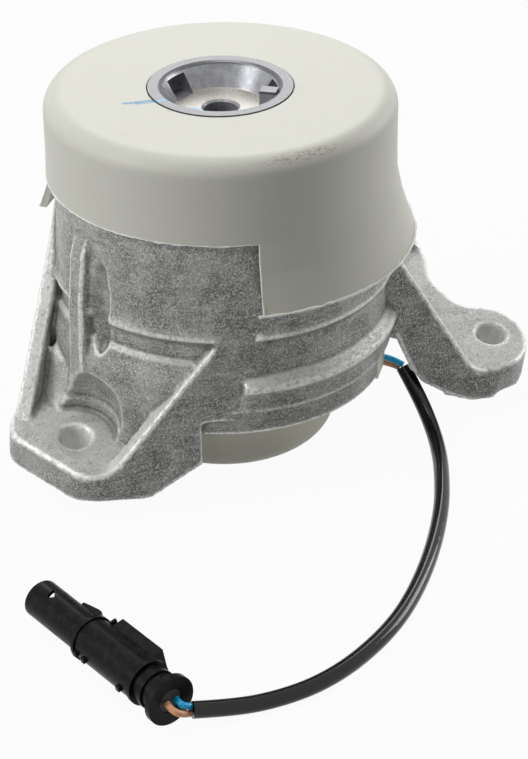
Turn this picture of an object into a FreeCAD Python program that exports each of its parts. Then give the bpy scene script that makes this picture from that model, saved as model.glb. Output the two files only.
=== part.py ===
"""Hydraulic engine mount: die-cast housing with two feet, rubber main spring, fluid
chambers, a solenoid in the bottom can and a short lead with a two-pin connector.

The mount stands on the flat face of its bottom can, with the origin at the centre of
that face and +Z along the mount axis. +X runs along the line through the two foot holes.
"""
import FreeCAD, Part
import math
import os

import Sketcher

doc = FreeCAD.newDocument("engine_mount")
sheet = doc.addObject("Spreadsheet::Sheet", "Sizes")
X_AXIS = FreeCAD.Vector(1, 0, 0)
Y_AXIS = FreeCAD.Vector(0, 1, 0)
Z_AXIS = FreeCAD.Vector(0, 0, 1)
ORIGIN = FreeCAD.Vector(0, 0, 0)


class Size:
    """A number of the model together with the sheet formula that gives it."""

    def __init__(self, number, formula):
        self.number = number
        self.formula = formula

    def __float__(self):
        return float(self.number)

    def combine(self, other, sign, result, swapped=False):
        text = other.formula if isinstance(other, Size) else repr(other)
        first, second = (text, self.formula) if swapped else (self.formula, text)
        return Size(result, f"({first} {sign} {second})")

    def __add__(self, other):
        return self.combine(other, "+", self.number + float(other))

    def __radd__(self, other):
        return self.combine(other, "+", float(other) + self.number, True)

    def __sub__(self, other):
        return self.combine(other, "-", self.number - float(other))

    def __rsub__(self, other):
        return self.combine(other, "-", float(other) - self.number, True)

    def __mul__(self, other):
        return self.combine(other, "*", self.number * float(other))

    def __rmul__(self, other):
        return self.combine(other, "*", float(other) * self.number, True)

    def __truediv__(self, other):
        return self.combine(other, "/", self.number / float(other))


def cell(name, number):
    """Writes one driving dimension to the next row of the sheet."""
    cell.row += 1
    sheet.set(f"A{cell.row}", name)
    sheet.set(f"B{cell.row}", str(number))
    sheet.setAlias(f"B{cell.row}", name)
    return Size(number, f"Sizes.{name}")


cell.row = 0

# Cover, the moulded cap over the top
cover_rise = cell("cover_rise", 18.0)
cover_wall = cell("cover_wall", 2.0)
cover_clearance = cell("cover_clearance", 1.3)
cover_round = cell("cover_round", 5.5)
cover_hole_gap = cell("cover_hole_gap", 0.4)
skirt_short_end = cell("skirt_short_end", 88.8)
skirt_long_end = cell("skirt_long_end", 68.1)
skirt_flare = cell("skirt_flare", 5.8)
skirt_cut_from = cell("skirt_cut_from", 141.0)
skirt_cut_to = cell("skirt_cut_to", 257.4)

# Core, the aluminium insert that carries the engine bolt
core_rim_radius = cell("core_rim_radius", 21.6)
core_seat_radius = cell("core_seat_radius", 18.0)
core_floor_radius = cell("core_floor_radius", 13.6)
core_recess = cell("core_recess", 7.0)
core_collar_radius = cell("core_collar_radius", 26.0)
core_collar_thickness = cell("core_collar_thickness", 5.0)
core_foot_radius = cell("core_foot_radius", 9.5)
core_foot_thickness = cell("core_foot_thickness", 10.0)
core_neck_height = cell("core_neck_height", 8.0)
thread_radius = cell("thread_radius", 5.1)
thread_depth = cell("thread_depth", 30.0)
post_width = cell("post_width", 4.0)
post_depth = cell("post_depth", 5.0)

# Housing, the die casting
housing_bore = cell("housing_bore", 46.0)
housing_wall = cell("housing_wall", 4.2)
housing_lip = cell("housing_lip", 4.0)
housing_hem = cell("housing_hem", 3.0)
neck_step = cell("neck_step", 0.9)
flange_step = cell("flange_step", 0.3)
flange_band = cell("flange_band", 7.8)
rib_low_rise = cell("rib_low_rise", 3.7)
rib_low_height = cell("rib_low_height", 41.3)
rib_high_rise = cell("rib_high_rise", 2.1)
rib_high_height = cell("rib_high_height", 57.7)
lip_counterbore = cell("lip_counterbore", 1.2)

# Feet of the casting
foot_tilt = cell("foot_tilt", 12.3)
foot_thickness = cell("foot_thickness", 11.0)
foot_hole_radius = cell("foot_hole_radius", 4.6)
foot_hole_chamfer = cell("foot_hole_chamfer", 1.0)
foot_line = cell("foot_line", -19.8)
foot_line_height = cell("foot_line_height", 19.8)
left_hole = cell("left_hole", -58.5)
right_hole = cell("right_hole", 84.5)
foot_wall = cell("foot_wall", 6.0)
rear_wall = cell("rear_wall", 4.9)
right_foot_extra = cell("right_foot_extra", 1.4)
left_toe = cell("left_toe", 18.1)
right_toe = cell("right_toe", 10.7)
spot_face_radius = cell("spot_face_radius", 12.6)
spot_face_step = cell("spot_face_step", 4.0)
tool_clearance = cell("tool_clearance", 1.0)

# Inner stack, from the bottom can up
can_radius = cell("can_radius", 34.5)
can_wall = cell("can_wall", 2.2)
can_round = cell("can_round", 9.0)
can_flange_height = cell("can_flange_height", 27.0)
can_flange_thickness = cell("can_flange_thickness", 2.5)
stack_gap = cell("stack_gap", 0.3)
bellows_bead = cell("bellows_bead", 3.5)
bellows_wall = cell("bellows_wall", 1.6)
lower_plate = cell("lower_plate", 5.0)
membrane_thickness = cell("membrane_thickness", 2.0)
upper_plate = cell("upper_plate", 8.5)
spring_ring_height = cell("spring_ring_height", 44.0)
spring_ring_wall = cell("spring_ring_wall", 2.0)
stop_plate_thickness = cell("stop_plate_thickness", 2.5)
stop_plate_hole = cell("stop_plate_hole", 34.0)
orifice_radius = cell("orifice_radius", 6.5)

# Solenoid
yoke_radius = cell("yoke_radius", 27.0)
yoke_wall = cell("yoke_wall", 2.5)
yoke_height = cell("yoke_height", 17.0)
yoke_plate_thickness = cell("yoke_plate_thickness", 2.5)
bobbin_wall = cell("bobbin_wall", 1.5)
bush_wall = cell("bush_wall", 1.0)
plunger_radius = cell("plunger_radius", 6.5)
plunger_gap = cell("plunger_gap", 0.1)
pole_height = cell("pole_height", 5.0)
plunger_seat = cell("plunger_seat", 4.0)
spring_wire = cell("spring_wire", 1.0)
spring_coil_radius = cell("spring_coil_radius", 4.0)
spring_turns = cell("spring_turns", 4.0)

# Lead and connector
wire_radius = cell("wire_radius", 0.95)
sleeve_radius = cell("sleeve_radius", 2.4)
plug_axis_height = cell("plug_axis_height", 7.4)
plug_mouth_x = cell("plug_mouth_x", -91.5)
plug_mouth_y = cell("plug_mouth_y", -76.6)
plug_turn = cell("plug_turn", -76.0)
plug_length = cell("plug_length", 58.0)
plug_tube_radius = cell("plug_tube_radius", 5.6)
plug_barrel_radius = cell("plug_barrel_radius", 6.3)
plug_disc_radius = cell("plug_disc_radius", 7.4)
plug_wall = cell("plug_wall", 1.1)
pin_radius = cell("pin_radius", 0.75)
doc.recompute()


def origin_plane(body, role):
    """The body's own XY, XZ or YZ plane."""
    return next(item for item in body.Origin.OriginFeatures if item.Role == role)


def new_body(label):
    """A body whose label names its file."""
    body = doc.addObject("PartDesign::Body", label)
    body.Label = label
    return body


def fix_point(sketch, geometry, x, y):
    """Holds the start of an edge at (x, y), bound to the sheet where x or y is a Size."""
    for kind, distance in (("DistanceX", x), ("DistanceY", y)):
        if not isinstance(distance, Size) and distance == 0:
            axis = -2 if kind == "DistanceX" else -1
            sketch.addConstraint(Sketcher.Constraint("PointOnObject", geometry, 1, axis))
            continue
        index = sketch.addConstraint(Sketcher.Constraint(kind, -1, 1, geometry, 1, float(distance)))
        if isinstance(distance, Size):
            sketch.setExpression(f"Constraints[{index}]", distance.formula)


def polygon(body, name, role, points, offset=None):
    """A closed sketch through the points, on one of the body's origin planes."""
    sketch = body.newObject("Sketcher::SketchObject", name)
    sketch.AttachmentSupport = (origin_plane(body, role), [""])
    sketch.MapMode = "FlatFace"
    if offset:
        sketch.AttachmentOffset = offset
    corners = [FreeCAD.Vector(float(x), float(y), 0) for x, y in points]
    for start, end in zip(corners, corners[1:] + corners[:1]):
        sketch.addGeometry(Part.LineSegment(start, end))
    count = len(corners)
    for index in range(count):
        sketch.addConstraint(Sketcher.Constraint("Coincident", index, 2, (index + 1) % count, 1))
    for index, (x, y) in enumerate(points):
        fix_point(sketch, index, x, y)
    return sketch


def revolve(body, name, points, kind="PartDesign::Revolution"):
    """Turns a closed outline of (radius, height) points about the mount axis."""
    sketch = polygon(body, f"{name}_outline", "XZ_Plane", points)
    feature = body.newObject(kind, name)
    feature.Profile = sketch
    feature.ReferenceAxis = (sketch, ["V_Axis"])
    feature.Angle = 360
    doc.recompute()
    return feature


def lathe(label, points):
    """A piece that is turned in one go."""
    body = new_body(label)
    revolve(body, f"{label}_turned", points)
    return body


def circle_edges(shape, radius, height):
    """Names of the circular edges about the mount axis with this radius and height."""
    names = []
    for index, edge in enumerate(shape.Edges, 1):
        if not isinstance(edge.Curve, Part.Circle):
            continue
        centre = edge.Curve.Center
        on_axis = math.hypot(centre.x, centre.y) < 0.01
        if on_axis and abs(edge.Curve.Radius - float(radius)) < 0.02 and abs(centre.z - float(height)) < 0.02:
            names.append(f"Edge{index}")
    return names


def dress(body, name, kind, edges, width):
    """Rounds or chamfers the named edges of the body's tip."""
    if not edges:
        raise ValueError(f"{name}: no such edge")
    base = body.Tip
    feature = body.newObject(kind, name)
    feature.Base = (base, edges)
    parameter = "Radius" if kind.endswith("Fillet") else "Size"
    setattr(feature, parameter, float(width))
    if isinstance(width, Size):
        feature.setExpression(parameter, width.formula)
    body.Tip = feature
    doc.recompute()
    return feature


def round_rings(body, name, rings, width):
    """Rounds circular edges given as (radius, height) pairs."""
    edges = []
    for radius, height in rings:
        edges += circle_edges(body.Tip.Shape, radius, height)
    return dress(body, name, "PartDesign::Fillet", sorted(set(edges)), width)


def pad(body, sketch, name, length, midplane=False, reverse=False):
    """Extrudes a sketch into the body."""
    feature = body.newObject("PartDesign::Pad", name)
    feature.Profile = sketch
    feature.Length = float(length)
    if isinstance(length, Size):
        feature.setExpression("Length", length.formula)
    feature.Midplane = midplane
    feature.Reversed = reverse
    doc.recompute()
    return feature


def pocket(body, sketch, name, length, midplane=False, reverse=False):
    """Cuts a sketch out of the body and makes sure that something was cut."""
    before = body.Tip.Shape.Volume
    feature = body.newObject("PartDesign::Pocket", name)
    feature.Profile = sketch
    feature.Length = float(length)
    if isinstance(length, Size):
        feature.setExpression("Length", length.formula)
    feature.Midplane = midplane
    feature.Reversed = reverse
    doc.recompute()
    if feature.Shape.Volume >= before - 0.01:
        raise ValueError(f"{name} cuts nothing")
    return feature


def circle_sketch(body, name, role, radius, x=0, y=0, offset=None):
    """A sketch of one circle."""
    sketch = body.newObject("Sketcher::SketchObject", name)
    sketch.AttachmentSupport = (origin_plane(body, role), [""])
    sketch.MapMode = "FlatFace"
    if offset:
        sketch.AttachmentOffset = offset
    centre = FreeCAD.Vector(float(x), float(y), 0)
    sketch.addGeometry(Part.Circle(centre, Z_AXIS, float(radius)))
    index = sketch.addConstraint(Sketcher.Constraint("Radius", 0, float(radius)))
    if isinstance(radius, Size):
        sketch.setExpression(f"Constraints[{index}]", radius.formula)
    for kind, distance in (("DistanceX", x), ("DistanceY", y)):
        if not isinstance(distance, Size) and distance == 0:
            axis = -2 if kind == "DistanceX" else -1
            sketch.addConstraint(Sketcher.Constraint("PointOnObject", 0, 3, axis))
            continue
        index = sketch.addConstraint(Sketcher.Constraint(kind, -1, 1, 0, 3, float(distance)))
        if isinstance(distance, Size):
            sketch.setExpression(f"Constraints[{index}]", distance.formula)
    return sketch


def repeat(body, feature, name, count):
    """Repeats a feature evenly about the mount axis."""
    pattern = body.newObject("PartDesign::PolarPattern", name)
    pattern.Originals = [feature]
    axis = next(item for item in body.Origin.OriginFeatures if item.Role == "Z_Axis")
    pattern.Axis = (axis, [""])
    pattern.Angle = 360
    pattern.Occurrences = count
    body.Tip = pattern
    doc.recompute()
    return pattern


def turned_about_z(angle):
    """The placement of a sketch plane that is turned about the mount axis."""
    return FreeCAD.Placement(ORIGIN, FreeCAD.Rotation(Z_AXIS, float(angle)))


# Heights of the stack inside the housing, each piece on the one below
housing_foot = can_flange_height - housing_hem
bead_seat = can_flange_height + can_flange_thickness
lower_plate_base = bead_seat + bellows_bead
lower_plate_top = lower_plate_base + lower_plate
upper_plate_base = lower_plate_top
upper_plate_top = upper_plate_base + upper_plate
spring_ring_top = upper_plate_top + spring_ring_height
stop_plate_top = spring_ring_top + stop_plate_thickness
stack_radius = housing_bore - stack_gap
housing_top = stop_plate_top + housing_lip
mount_top = housing_top + cover_rise

# Radii of the housing's outside, from the bore out
housing_radius = housing_bore + housing_wall
housing_neck_radius = housing_radius - neck_step
flange_radius = housing_radius - flange_step
rib_low_radius = housing_radius + rib_low_rise
rib_high_radius = housing_radius + rib_high_rise
waist_radius = housing_radius + 0.2
cover_radius = housing_neck_radius + cover_clearance + cover_wall

# Inner stack of discs
can_inner = can_radius - can_wall
bottom_can = new_body("bottom_can")
revolve(bottom_can, "can_turned", [
    (0, 0), (can_radius, 0), (can_radius, can_flange_height), (stack_radius, can_flange_height),
    (stack_radius, bead_seat), (can_inner, bead_seat), (can_inner, can_wall), (0, can_wall)])
round_rings(bottom_can, "can_inner_round", [(can_inner, can_wall)], can_round - can_wall)
round_rings(bottom_can, "can_outer_round", [(can_radius, 0)], can_round)

bead_inner = stack_radius - 4.0
plug_radius = orifice_radius + 3.0
plug_foot = lower_plate_base - bellows_bead
bellows = lathe("bellows", [
    (0, plug_foot), (plug_radius, plug_foot), (plug_radius + 3.0, plug_foot - 2.0),
    (can_inner - 9.0, plug_foot - 3.5), (can_inner - 2.5, plug_foot - 2.5),
    (can_inner - 0.4, plug_foot), (stack_radius, bead_seat), (stack_radius, lower_plate_base),
    (bead_inner, lower_plate_base), (can_inner - 1.6, plug_foot + bellows_wall),
    (can_inner - 4.0, plug_foot - 2.5 + bellows_wall), (can_inner - 9.0, plug_foot - 3.5 + bellows_wall),
    (plug_radius + 3.3, plug_foot - 2.0 + bellows_wall), (plug_radius, lower_plate_base),
    (0, lower_plate_base)])

grid_inner = orifice_radius + 6.0
grid_outer = housing_bore - 15.0
membrane_room = membrane_thickness + 2 * stack_gap
lower_channel_plate = lathe("lower_channel_plate", [
    (orifice_radius, lower_plate_base), (stack_radius, lower_plate_base),
    (stack_radius, lower_plate_top), (grid_outer + 1.0, lower_plate_top),
    (grid_outer + 1.0, lower_plate_top - membrane_room), (grid_inner - 1.0, lower_plate_top - membrane_room),
    (grid_inner - 1.0, lower_plate_top), (orifice_radius, lower_plate_top)])
channel_outer = housing_bore - 4.0
channel_inner = grid_outer + 3.0
channel_roof = upper_plate_top - 2.0
upper_channel_plate = lathe("upper_channel_plate", [
    (orifice_radius, upper_plate_base), (channel_inner, upper_plate_base), (channel_inner, channel_roof),
    (channel_outer, channel_roof), (channel_outer, upper_plate_base), (stack_radius, upper_plate_base),
    (stack_radius, upper_plate_top), (grid_outer, upper_plate_top), (grid_outer, upper_plate_base + 2.5),
    (grid_inner, upper_plate_base + 2.5), (grid_inner, upper_plate_top), (orifice_radius, upper_plate_top)])
decoupler_membrane = lathe("decoupler_membrane", [
    (grid_inner - 0.5, lower_plate_top - stack_gap), (grid_outer + 0.5, lower_plate_top - stack_gap),
    (grid_outer + 0.5, lower_plate_top - stack_gap - membrane_thickness),
    (grid_inner - 0.5, lower_plate_top - stack_gap - membrane_thickness)])

GRID_SLOTS = 8
slot_length = grid_outer - grid_inner - 5.0
slot_middle = (grid_outer + grid_inner) / 2


def cut_grid(body, base, name):
    """Cuts the ring of slots that lets the fluid reach the membrane."""
    offset = FreeCAD.Placement(FreeCAD.Vector(0, 0, float(base)), FreeCAD.Rotation())
    half = slot_length / 2
    sketch = polygon(body, f"{name}_sketch", "XY_Plane", [
        (slot_middle - half, -2.4), (slot_middle + half, -3.4),
        (slot_middle + half, 3.4), (slot_middle - half, 2.4)], offset)
    slot = pocket(body, sketch, name, 14.0, midplane=True)
    repeat(body, slot, f"{name}_ring", GRID_SLOTS)


cut_grid(lower_channel_plate, lower_plate_base, "lower_grid")
cut_grid(upper_channel_plate, upper_plate_base, "upper_grid")
channel_middle = (channel_inner + channel_outer) / 2
port_half = (channel_outer - channel_inner) / 2
lower_port = polygon(lower_channel_plate, "lower_port_sketch", "XY_Plane", [
    (channel_middle - port_half, 2.0), (channel_middle + port_half, 2.0),
    (channel_middle + port_half, 12.0), (channel_middle - port_half, 12.0)],
    FreeCAD.Placement(FreeCAD.Vector(0, 0, float(lower_plate_top)), FreeCAD.Rotation()))
pocket(lower_channel_plate, lower_port, "lower_port", lower_plate)
upper_port = polygon(upper_channel_plate, "upper_port_sketch", "XY_Plane", [
    (channel_middle - port_half, -12.0), (channel_middle + port_half, -12.0),
    (channel_middle + port_half, -2.0), (channel_middle - port_half, -2.0)],
    FreeCAD.Placement(FreeCAD.Vector(0, 0, float(upper_plate_top)), FreeCAD.Rotation()))
pocket(upper_channel_plate, upper_port, "upper_port", upper_plate)
channel_wall = polygon(upper_channel_plate, "channel_wall_sketch", "XY_Plane", [
    (channel_inner - 0.5, -1.5), (channel_outer + 0.5, -1.5),
    (channel_outer + 0.5, 1.5), (channel_inner - 0.5, 1.5)],
    FreeCAD.Placement(FreeCAD.Vector(0, 0, float(upper_plate_base)), FreeCAD.Rotation()))
pad(upper_channel_plate, channel_wall, "channel_wall", upper_plate)

# Spring pack: core, rubber spring, its outer ring and the stop plate above it
ring_inner = stack_radius - spring_ring_wall
spring_ring = lathe("spring_ring", [
    (ring_inner, upper_plate_top), (stack_radius, upper_plate_top),
    (stack_radius, spring_ring_top), (ring_inner, spring_ring_top)])
stop_plate_radius = housing_bore + lip_counterbore - stack_gap
stop_plate = lathe("stop_plate", [
    (stop_plate_hole, spring_ring_top), (stop_plate_radius, spring_ring_top),
    (stop_plate_radius, stop_plate_top), (stop_plate_hole, stop_plate_top)])

collar_top = mount_top - cover_wall
collar_base = collar_top - core_collar_thickness
core_floor = mount_top - core_recess
core_foot_height = core_floor - thread_depth - core_foot_thickness
core_waist_height = collar_base - core_neck_height
core_neck_radius = core_rim_radius - 1.0
cone_slope = (core_neck_radius - core_foot_radius) / (core_waist_height - core_foot_height)
core = new_body("core")
revolve(core, "core_turned", [
    (0, core_foot_height), (core_foot_radius, core_foot_height), (core_neck_radius, core_waist_height),
    (core_neck_radius, collar_base), (core_collar_radius, collar_base), (core_collar_radius, collar_top),
    (core_rim_radius, collar_top), (core_rim_radius, mount_top), (core_seat_radius, mount_top),
    (core_floor_radius, core_floor), (thread_radius, core_floor), (thread_radius, core_floor - thread_depth),
    (0, core_floor - thread_depth)])
round_rings(core, "collar_round", [(core_collar_radius, collar_base)], 1.5)
dress(core, "rim_chamfer", "PartDesign::Chamfer",
      circle_edges(core.Tip.Shape, core_seat_radius, mount_top), 0.5)
dress(core, "thread_chamfer", "PartDesign::Chamfer",
      circle_edges(core.Tip.Shape, thread_radius, core_floor), 0.7)

PLUG_SIDE = FreeCAD.Placement(FreeCAD.Vector(0, 0, float(core_floor - 0.5)), FreeCAD.Rotation())
NOTCH_ANGLES = (120.0, -13.0)
POST_ANGLE = -38.0
post_middle = core_seat_radius - post_depth / 2 - 0.8
for number, angle in enumerate(NOTCH_ANGLES, 1):
    turn = turned_about_z(angle)
    notch = polygon(core, f"notch_sketch_{number}", "XY_Plane", [
        (core_floor_radius - 1.0, -3.8), (core_rim_radius - 1.8, -4.6),
        (core_rim_radius - 1.8, 4.6), (core_floor_radius - 1.0, 3.8)], PLUG_SIDE.multiply(turn))
    pocket(core, notch, f"notch_{number}", core_recess - 1.0, reverse=True)
post = polygon(core, "post_sketch", "XY_Plane", [
    (post_middle - post_depth / 2, 0 - post_width / 2), (post_middle + post_depth / 2, 0 - post_width / 2),
    (post_middle + post_depth / 2, post_width / 2), (post_middle - post_depth / 2, post_width / 2)],
    PLUG_SIDE.multiply(turned_about_z(POST_ANGLE)))
pad(core, post, "post", core_recess + 0.5)

spring_low = core_foot_height + 3.0
spring_high = core_waist_height - 2.0
main_spring = new_body("main_spring")
revolve(main_spring, "spring_turned", [
    (core_foot_radius + cone_slope * 3.0, spring_low), (core_foot_radius + 10.0, spring_low - 3.5),
    (ring_inner - 5.0, upper_plate_top + 7.0), (ring_inner, upper_plate_top + 5.0),
    (ring_inner, spring_ring_top - 5.0), (ring_inner - 9.0, spring_ring_top - 4.0),
    (core_neck_radius + 4.5, spring_high), (core_neck_radius - cone_slope * 2.0, spring_high)])

# Cover over the top, with the skirt cut short above the left foot
hole_radius = core_rim_radius + cover_hole_gap
cover_end_radius = cover_radius + skirt_flare
top_cover = new_body("top_cover")
revolve(top_cover, "cover_turned", [
    (hole_radius, collar_top), (hole_radius, mount_top - 0.3), (cover_radius, mount_top - 0.3),
    (cover_radius, skirt_short_end + 8.0), (cover_radius + 0.2, skirt_short_end),
    (cover_radius + skirt_flare * 0.35, skirt_short_end - 9.0), (cover_end_radius, skirt_long_end),
    (cover_end_radius - cover_wall, skirt_long_end),
    (cover_radius + skirt_flare * 0.35 - cover_wall, skirt_short_end - 9.0),
    (cover_radius + 0.2 - cover_wall, skirt_short_end), (cover_radius - cover_wall, skirt_short_end + 8.0),
    (cover_radius - cover_wall, collar_top)])
round_rings(top_cover, "cover_edge", [(cover_radius, mount_top - 0.3)], cover_round)
round_rings(top_cover, "cover_inner_edge", [(cover_radius - cover_wall, collar_top)],
            cover_round - cover_wall)
reach = cover_end_radius * 2.5
cut_from = math.radians(float(skirt_cut_from))
cut_middle = math.radians((float(skirt_cut_from) + float(skirt_cut_to)) / 2)
cut_to = math.radians(float(skirt_cut_to))
skirt_sketch = polygon(top_cover, "skirt_cut_sketch", "XY_Plane", [
    (0, 0), (float(reach) * math.cos(cut_from), float(reach) * math.sin(cut_from)),
    (float(reach) * math.cos(cut_middle), float(reach) * math.sin(cut_middle)),
    (float(reach) * math.cos(cut_to), float(reach) * math.sin(cut_to))],
    FreeCAD.Placement(FreeCAD.Vector(0, 0, float(skirt_short_end)), FreeCAD.Rotation()))
pocket(top_cover, skirt_sketch, "skirt_cut", skirt_short_end - skirt_long_end + 1.0)

# Retaining ring below the can's flange
ring_groove = housing_bore + 1.5
snap_thickness = 1.8
snap_base = can_flange_height - snap_thickness
retaining_ring = new_body("retaining_ring")
revolve(retaining_ring, "snap_turned", [
    (housing_bore - 3.0, snap_base), (ring_groove - stack_gap, snap_base),
    (ring_groove - stack_gap, can_flange_height), (housing_bore - 3.0, can_flange_height)])
NOSE_ANGLE = -38.5
nose_half = 5.2
nose_room = nose_half + float(stack_gap)
nose_turn = turned_about_z(NOSE_ANGLE)
snap_seat = FreeCAD.Placement(FreeCAD.Vector(0, 0, float(can_flange_height)), FreeCAD.Rotation())
snap_gap = polygon(retaining_ring, "snap_gap_sketch", "XY_Plane", [
    (housing_bore - 6.0, -nose_room), (housing_bore + 4.0, -nose_room),
    (housing_bore + 4.0, nose_room), (housing_bore - 6.0, nose_room)], snap_seat.multiply(nose_turn))
pocket(retaining_ring, snap_gap, "snap_gap", 4.0)

# Solenoid inside the can
yoke_base = can_wall
yoke_top = yoke_base + yoke_height
yoke_inner = yoke_radius - yoke_wall
coil_base = yoke_base + yoke_wall
pole_top = coil_base + pole_height
bush_radius = plunger_radius + plunger_gap + bush_wall
solenoid_yoke = lathe("solenoid_yoke", [
    (0, yoke_base), (yoke_radius, yoke_base), (yoke_radius, yoke_top), (yoke_inner, yoke_top),
    (yoke_inner, coil_base), (0, coil_base)])
dress(solenoid_yoke, "yoke_round", "PartDesign::Fillet",
      circle_edges(solenoid_yoke.Tip.Shape, yoke_radius, yoke_base), 2.5)
yoke_plate = lathe("yoke_plate", [
    (bush_radius, yoke_top), (yoke_radius, yoke_top), (yoke_radius, yoke_top + yoke_plate_thickness),
    (bush_radius, yoke_top + yoke_plate_thickness)])
pole_core = lathe("pole_core", [
    (0, coil_base), (plunger_radius, coil_base), (plunger_radius, pole_top),
    (spring_coil_radius + spring_wire, pole_top), (spring_coil_radius + spring_wire, pole_top - 2.0),
    (0, pole_top - 2.0)])
guide_bush = lathe("guide_bush", [
    (plunger_radius + plunger_gap, coil_base), (bush_radius, coil_base),
    (bush_radius, yoke_top + yoke_plate_thickness),
    (plunger_radius + plunger_gap, yoke_top + yoke_plate_thickness)])
bobbin_radius = bush_radius + bobbin_wall
winding_radius = yoke_inner - 1.5
bobbin_rim = yoke_inner - 0.2
coil_bobbin = lathe("coil_bobbin", [
    (bush_radius, coil_base), (bobbin_rim, coil_base), (bobbin_rim, coil_base + bobbin_wall),
    (bobbin_radius, coil_base + bobbin_wall), (bobbin_radius, yoke_top - bobbin_wall),
    (bobbin_rim, yoke_top - bobbin_wall), (bobbin_rim, yoke_top), (bush_radius, yoke_top)])
coil_winding = lathe("coil_winding", [
    (bobbin_radius, coil_base + bobbin_wall), (winding_radius, coil_base + bobbin_wall),
    (winding_radius, yoke_top - bobbin_wall), (bobbin_radius, yoke_top - bobbin_wall)])
plunger_base = pole_top + plunger_seat
plunger_top = plug_foot - 2.5
plunger = lathe("plunger", [
    (0, plunger_base + 2.0), (spring_coil_radius + spring_wire, plunger_base + 2.0),
    (spring_coil_radius + spring_wire, plunger_base), (plunger_radius, plunger_base),
    (plunger_radius, plunger_top), (0, plunger_top)])
plunger_cap = lathe("plunger_cap", [
    (0, plunger_top), (plug_radius - 1.0, plunger_top), (plug_radius - 1.0, plug_foot), (0, plug_foot)])

# Housing: a bell with two cast feet
flange_top = housing_foot + flange_band
bell_radius = housing_radius + 0.8
foot_plane = FreeCAD.Placement(
    FreeCAD.Vector(0, float(foot_line), float(foot_line_height)),
    FreeCAD.Rotation(X_AXIS, float(foot_tilt)))
TILT_COSINE = math.cos(math.radians(float(foot_tilt)))


def round_corner(body, name, corner, radius):
    """Rounds the edge of a foot's slab that stands on this corner of its plan."""
    normal = foot_plane.Rotation.multVec(Z_AXIS)
    local = FreeCAD.Vector(*(float(value) for value in foot_point(*corner)), 0)
    foot = foot_plane.multVec(local)
    edges = []
    for index, edge in enumerate(body.Tip.Shape.Edges, 1):
        if not isinstance(edge.Curve, Part.Line):
            continue
        along = edge.Curve.Direction.cross(normal).Length < 0.001
        if along and foot.distanceToLine(edge.Vertexes[0].Point, normal) < 0.05:
            edges.append(f"Edge{index}")
    dress(body, name, "PartDesign::Fillet", edges, radius)


def turned_cut(body, sketch, name):
    """Cuts a turned form out of the body, about the upright axis of its sketch."""
    before = body.Tip.Shape.Volume
    feature = body.newObject("PartDesign::Groove", name)
    feature.Profile = sketch
    feature.ReferenceAxis = (sketch, ["V_Axis"])
    feature.Angle = 360
    doc.recompute()
    if feature.Shape.Volume >= before - 0.01:
        raise ValueError(f"{name} cuts nothing")


def wall_plane(direction, distance):
    """An upright sketch plane whose outward normal has this compass direction."""
    turn = FreeCAD.Rotation(Y_AXIS, direction + 90.0)
    return FreeCAD.Placement(turn.multVec(FreeCAD.Vector(0, 0, float(distance))), turn)


def foot_point(x, y):
    """A plan position turned into coordinates of the tilted foot plane."""
    return (x, (y - float(foot_line)) / TILT_COSINE)


housing = new_body("housing")
revolve(housing, "bell", [
    (0, housing_foot), (flange_radius, housing_foot), (flange_radius + 0.5, flange_top),
    (rib_low_radius - 2.0, flange_top + 0.8), (rib_low_radius - 1.8, rib_low_height - 2.8),
    (rib_low_radius, rib_low_height - 0.9), (rib_low_radius - 0.2, rib_low_height + 0.6),
    (waist_radius, rib_low_height + 3.4), (waist_radius - 0.3, rib_high_height - 2.2),
    (rib_high_radius, rib_high_height - 0.7), (rib_high_radius, rib_high_height + 0.5),
    (bell_radius + 0.4, rib_high_height + 2.0), (bell_radius, rib_high_height + 4.5), (housing_radius, skirt_short_end - 5.0),
    (housing_neck_radius, skirt_short_end - 1.0), (housing_neck_radius, housing_top), (0, housing_top)])

# Left foot: tilted slab, two gusset walls that meet the bell at a tangent, a web and a rib
front_wall_distance = housing_radius + 0.6
toe_side = left_hole - left_toe
left_slab = polygon(housing, "left_slab_sketch", "XY_Plane", [
    foot_point(toe_side + 2.2, -7.0), foot_point(toe_side, -13.3), foot_point(left_hole - 3.4, -39.8),
    foot_point(-55.5, -38.9), foot_point(-43.5, -41.7),
    foot_point(-30.0, -30.0), foot_point(-30.0, 20.0), foot_point(-45.0, 26.0)], foot_plane)
pad(housing, left_slab, "left_slab", foot_thickness, reverse=True)
round_corner(housing, "left_toe_rear", (toe_side, -13.3), 6.0)
round_corner(housing, "left_toe_front", (left_hole - 3.4, -39.8), 9.0)
left_front = polygon(housing, "left_front_sketch", "XZ_Plane", [
    (-47.5, 9.0), (-45.5, 15.4), (-42.5, 18.0), (2.5, 73.4), (2.5, 30.0), (-16.5, 30.0),
    (-16.5, 15.6), (-32.7, 5.8), (-46.5, 5.8)], wall_plane(-103.6, front_wall_distance))
pad(housing, left_front, "left_front_wall", foot_wall, reverse=True)
left_rear = polygon(housing, "left_rear_sketch", "XZ_Plane", [
    (54.6, 12.5), (55.2, 20.6), (50.6, 24.2), (17.5, 63.8), (9.0, 76.5), (2.0, 86.5), (-6.0, 86.5),
    (-6.0, 26.0), (24.0, 20.0)], wall_plane(138.8, front_wall_distance))
pad(housing, left_rear, "left_rear_wall", rear_wall, reverse=True)

shelf_sketch = polygon(housing, "shelf_sketch", "XZ_Plane", [
    (housing_bore, 15.0), (rib_low_radius + 0.1, 15.0), (rib_low_radius + 0.1, rib_low_height + 0.7),
    (rib_high_radius, rib_high_height - 11.0), (rib_high_radius - 0.8, rib_high_height - 8.2),
    (housing_bore, rib_high_height - 8.2)],
    FreeCAD.Placement(ORIGIN, FreeCAD.Rotation(Y_AXIS, 194.0)))
shelf = housing.newObject("PartDesign::Revolution", "shelf")
shelf.Profile = shelf_sketch
shelf.ReferenceAxis = (shelf_sketch, ["V_Axis"])
shelf.Angle = 84.0
shelf.Midplane = True
doc.recompute()

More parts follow.
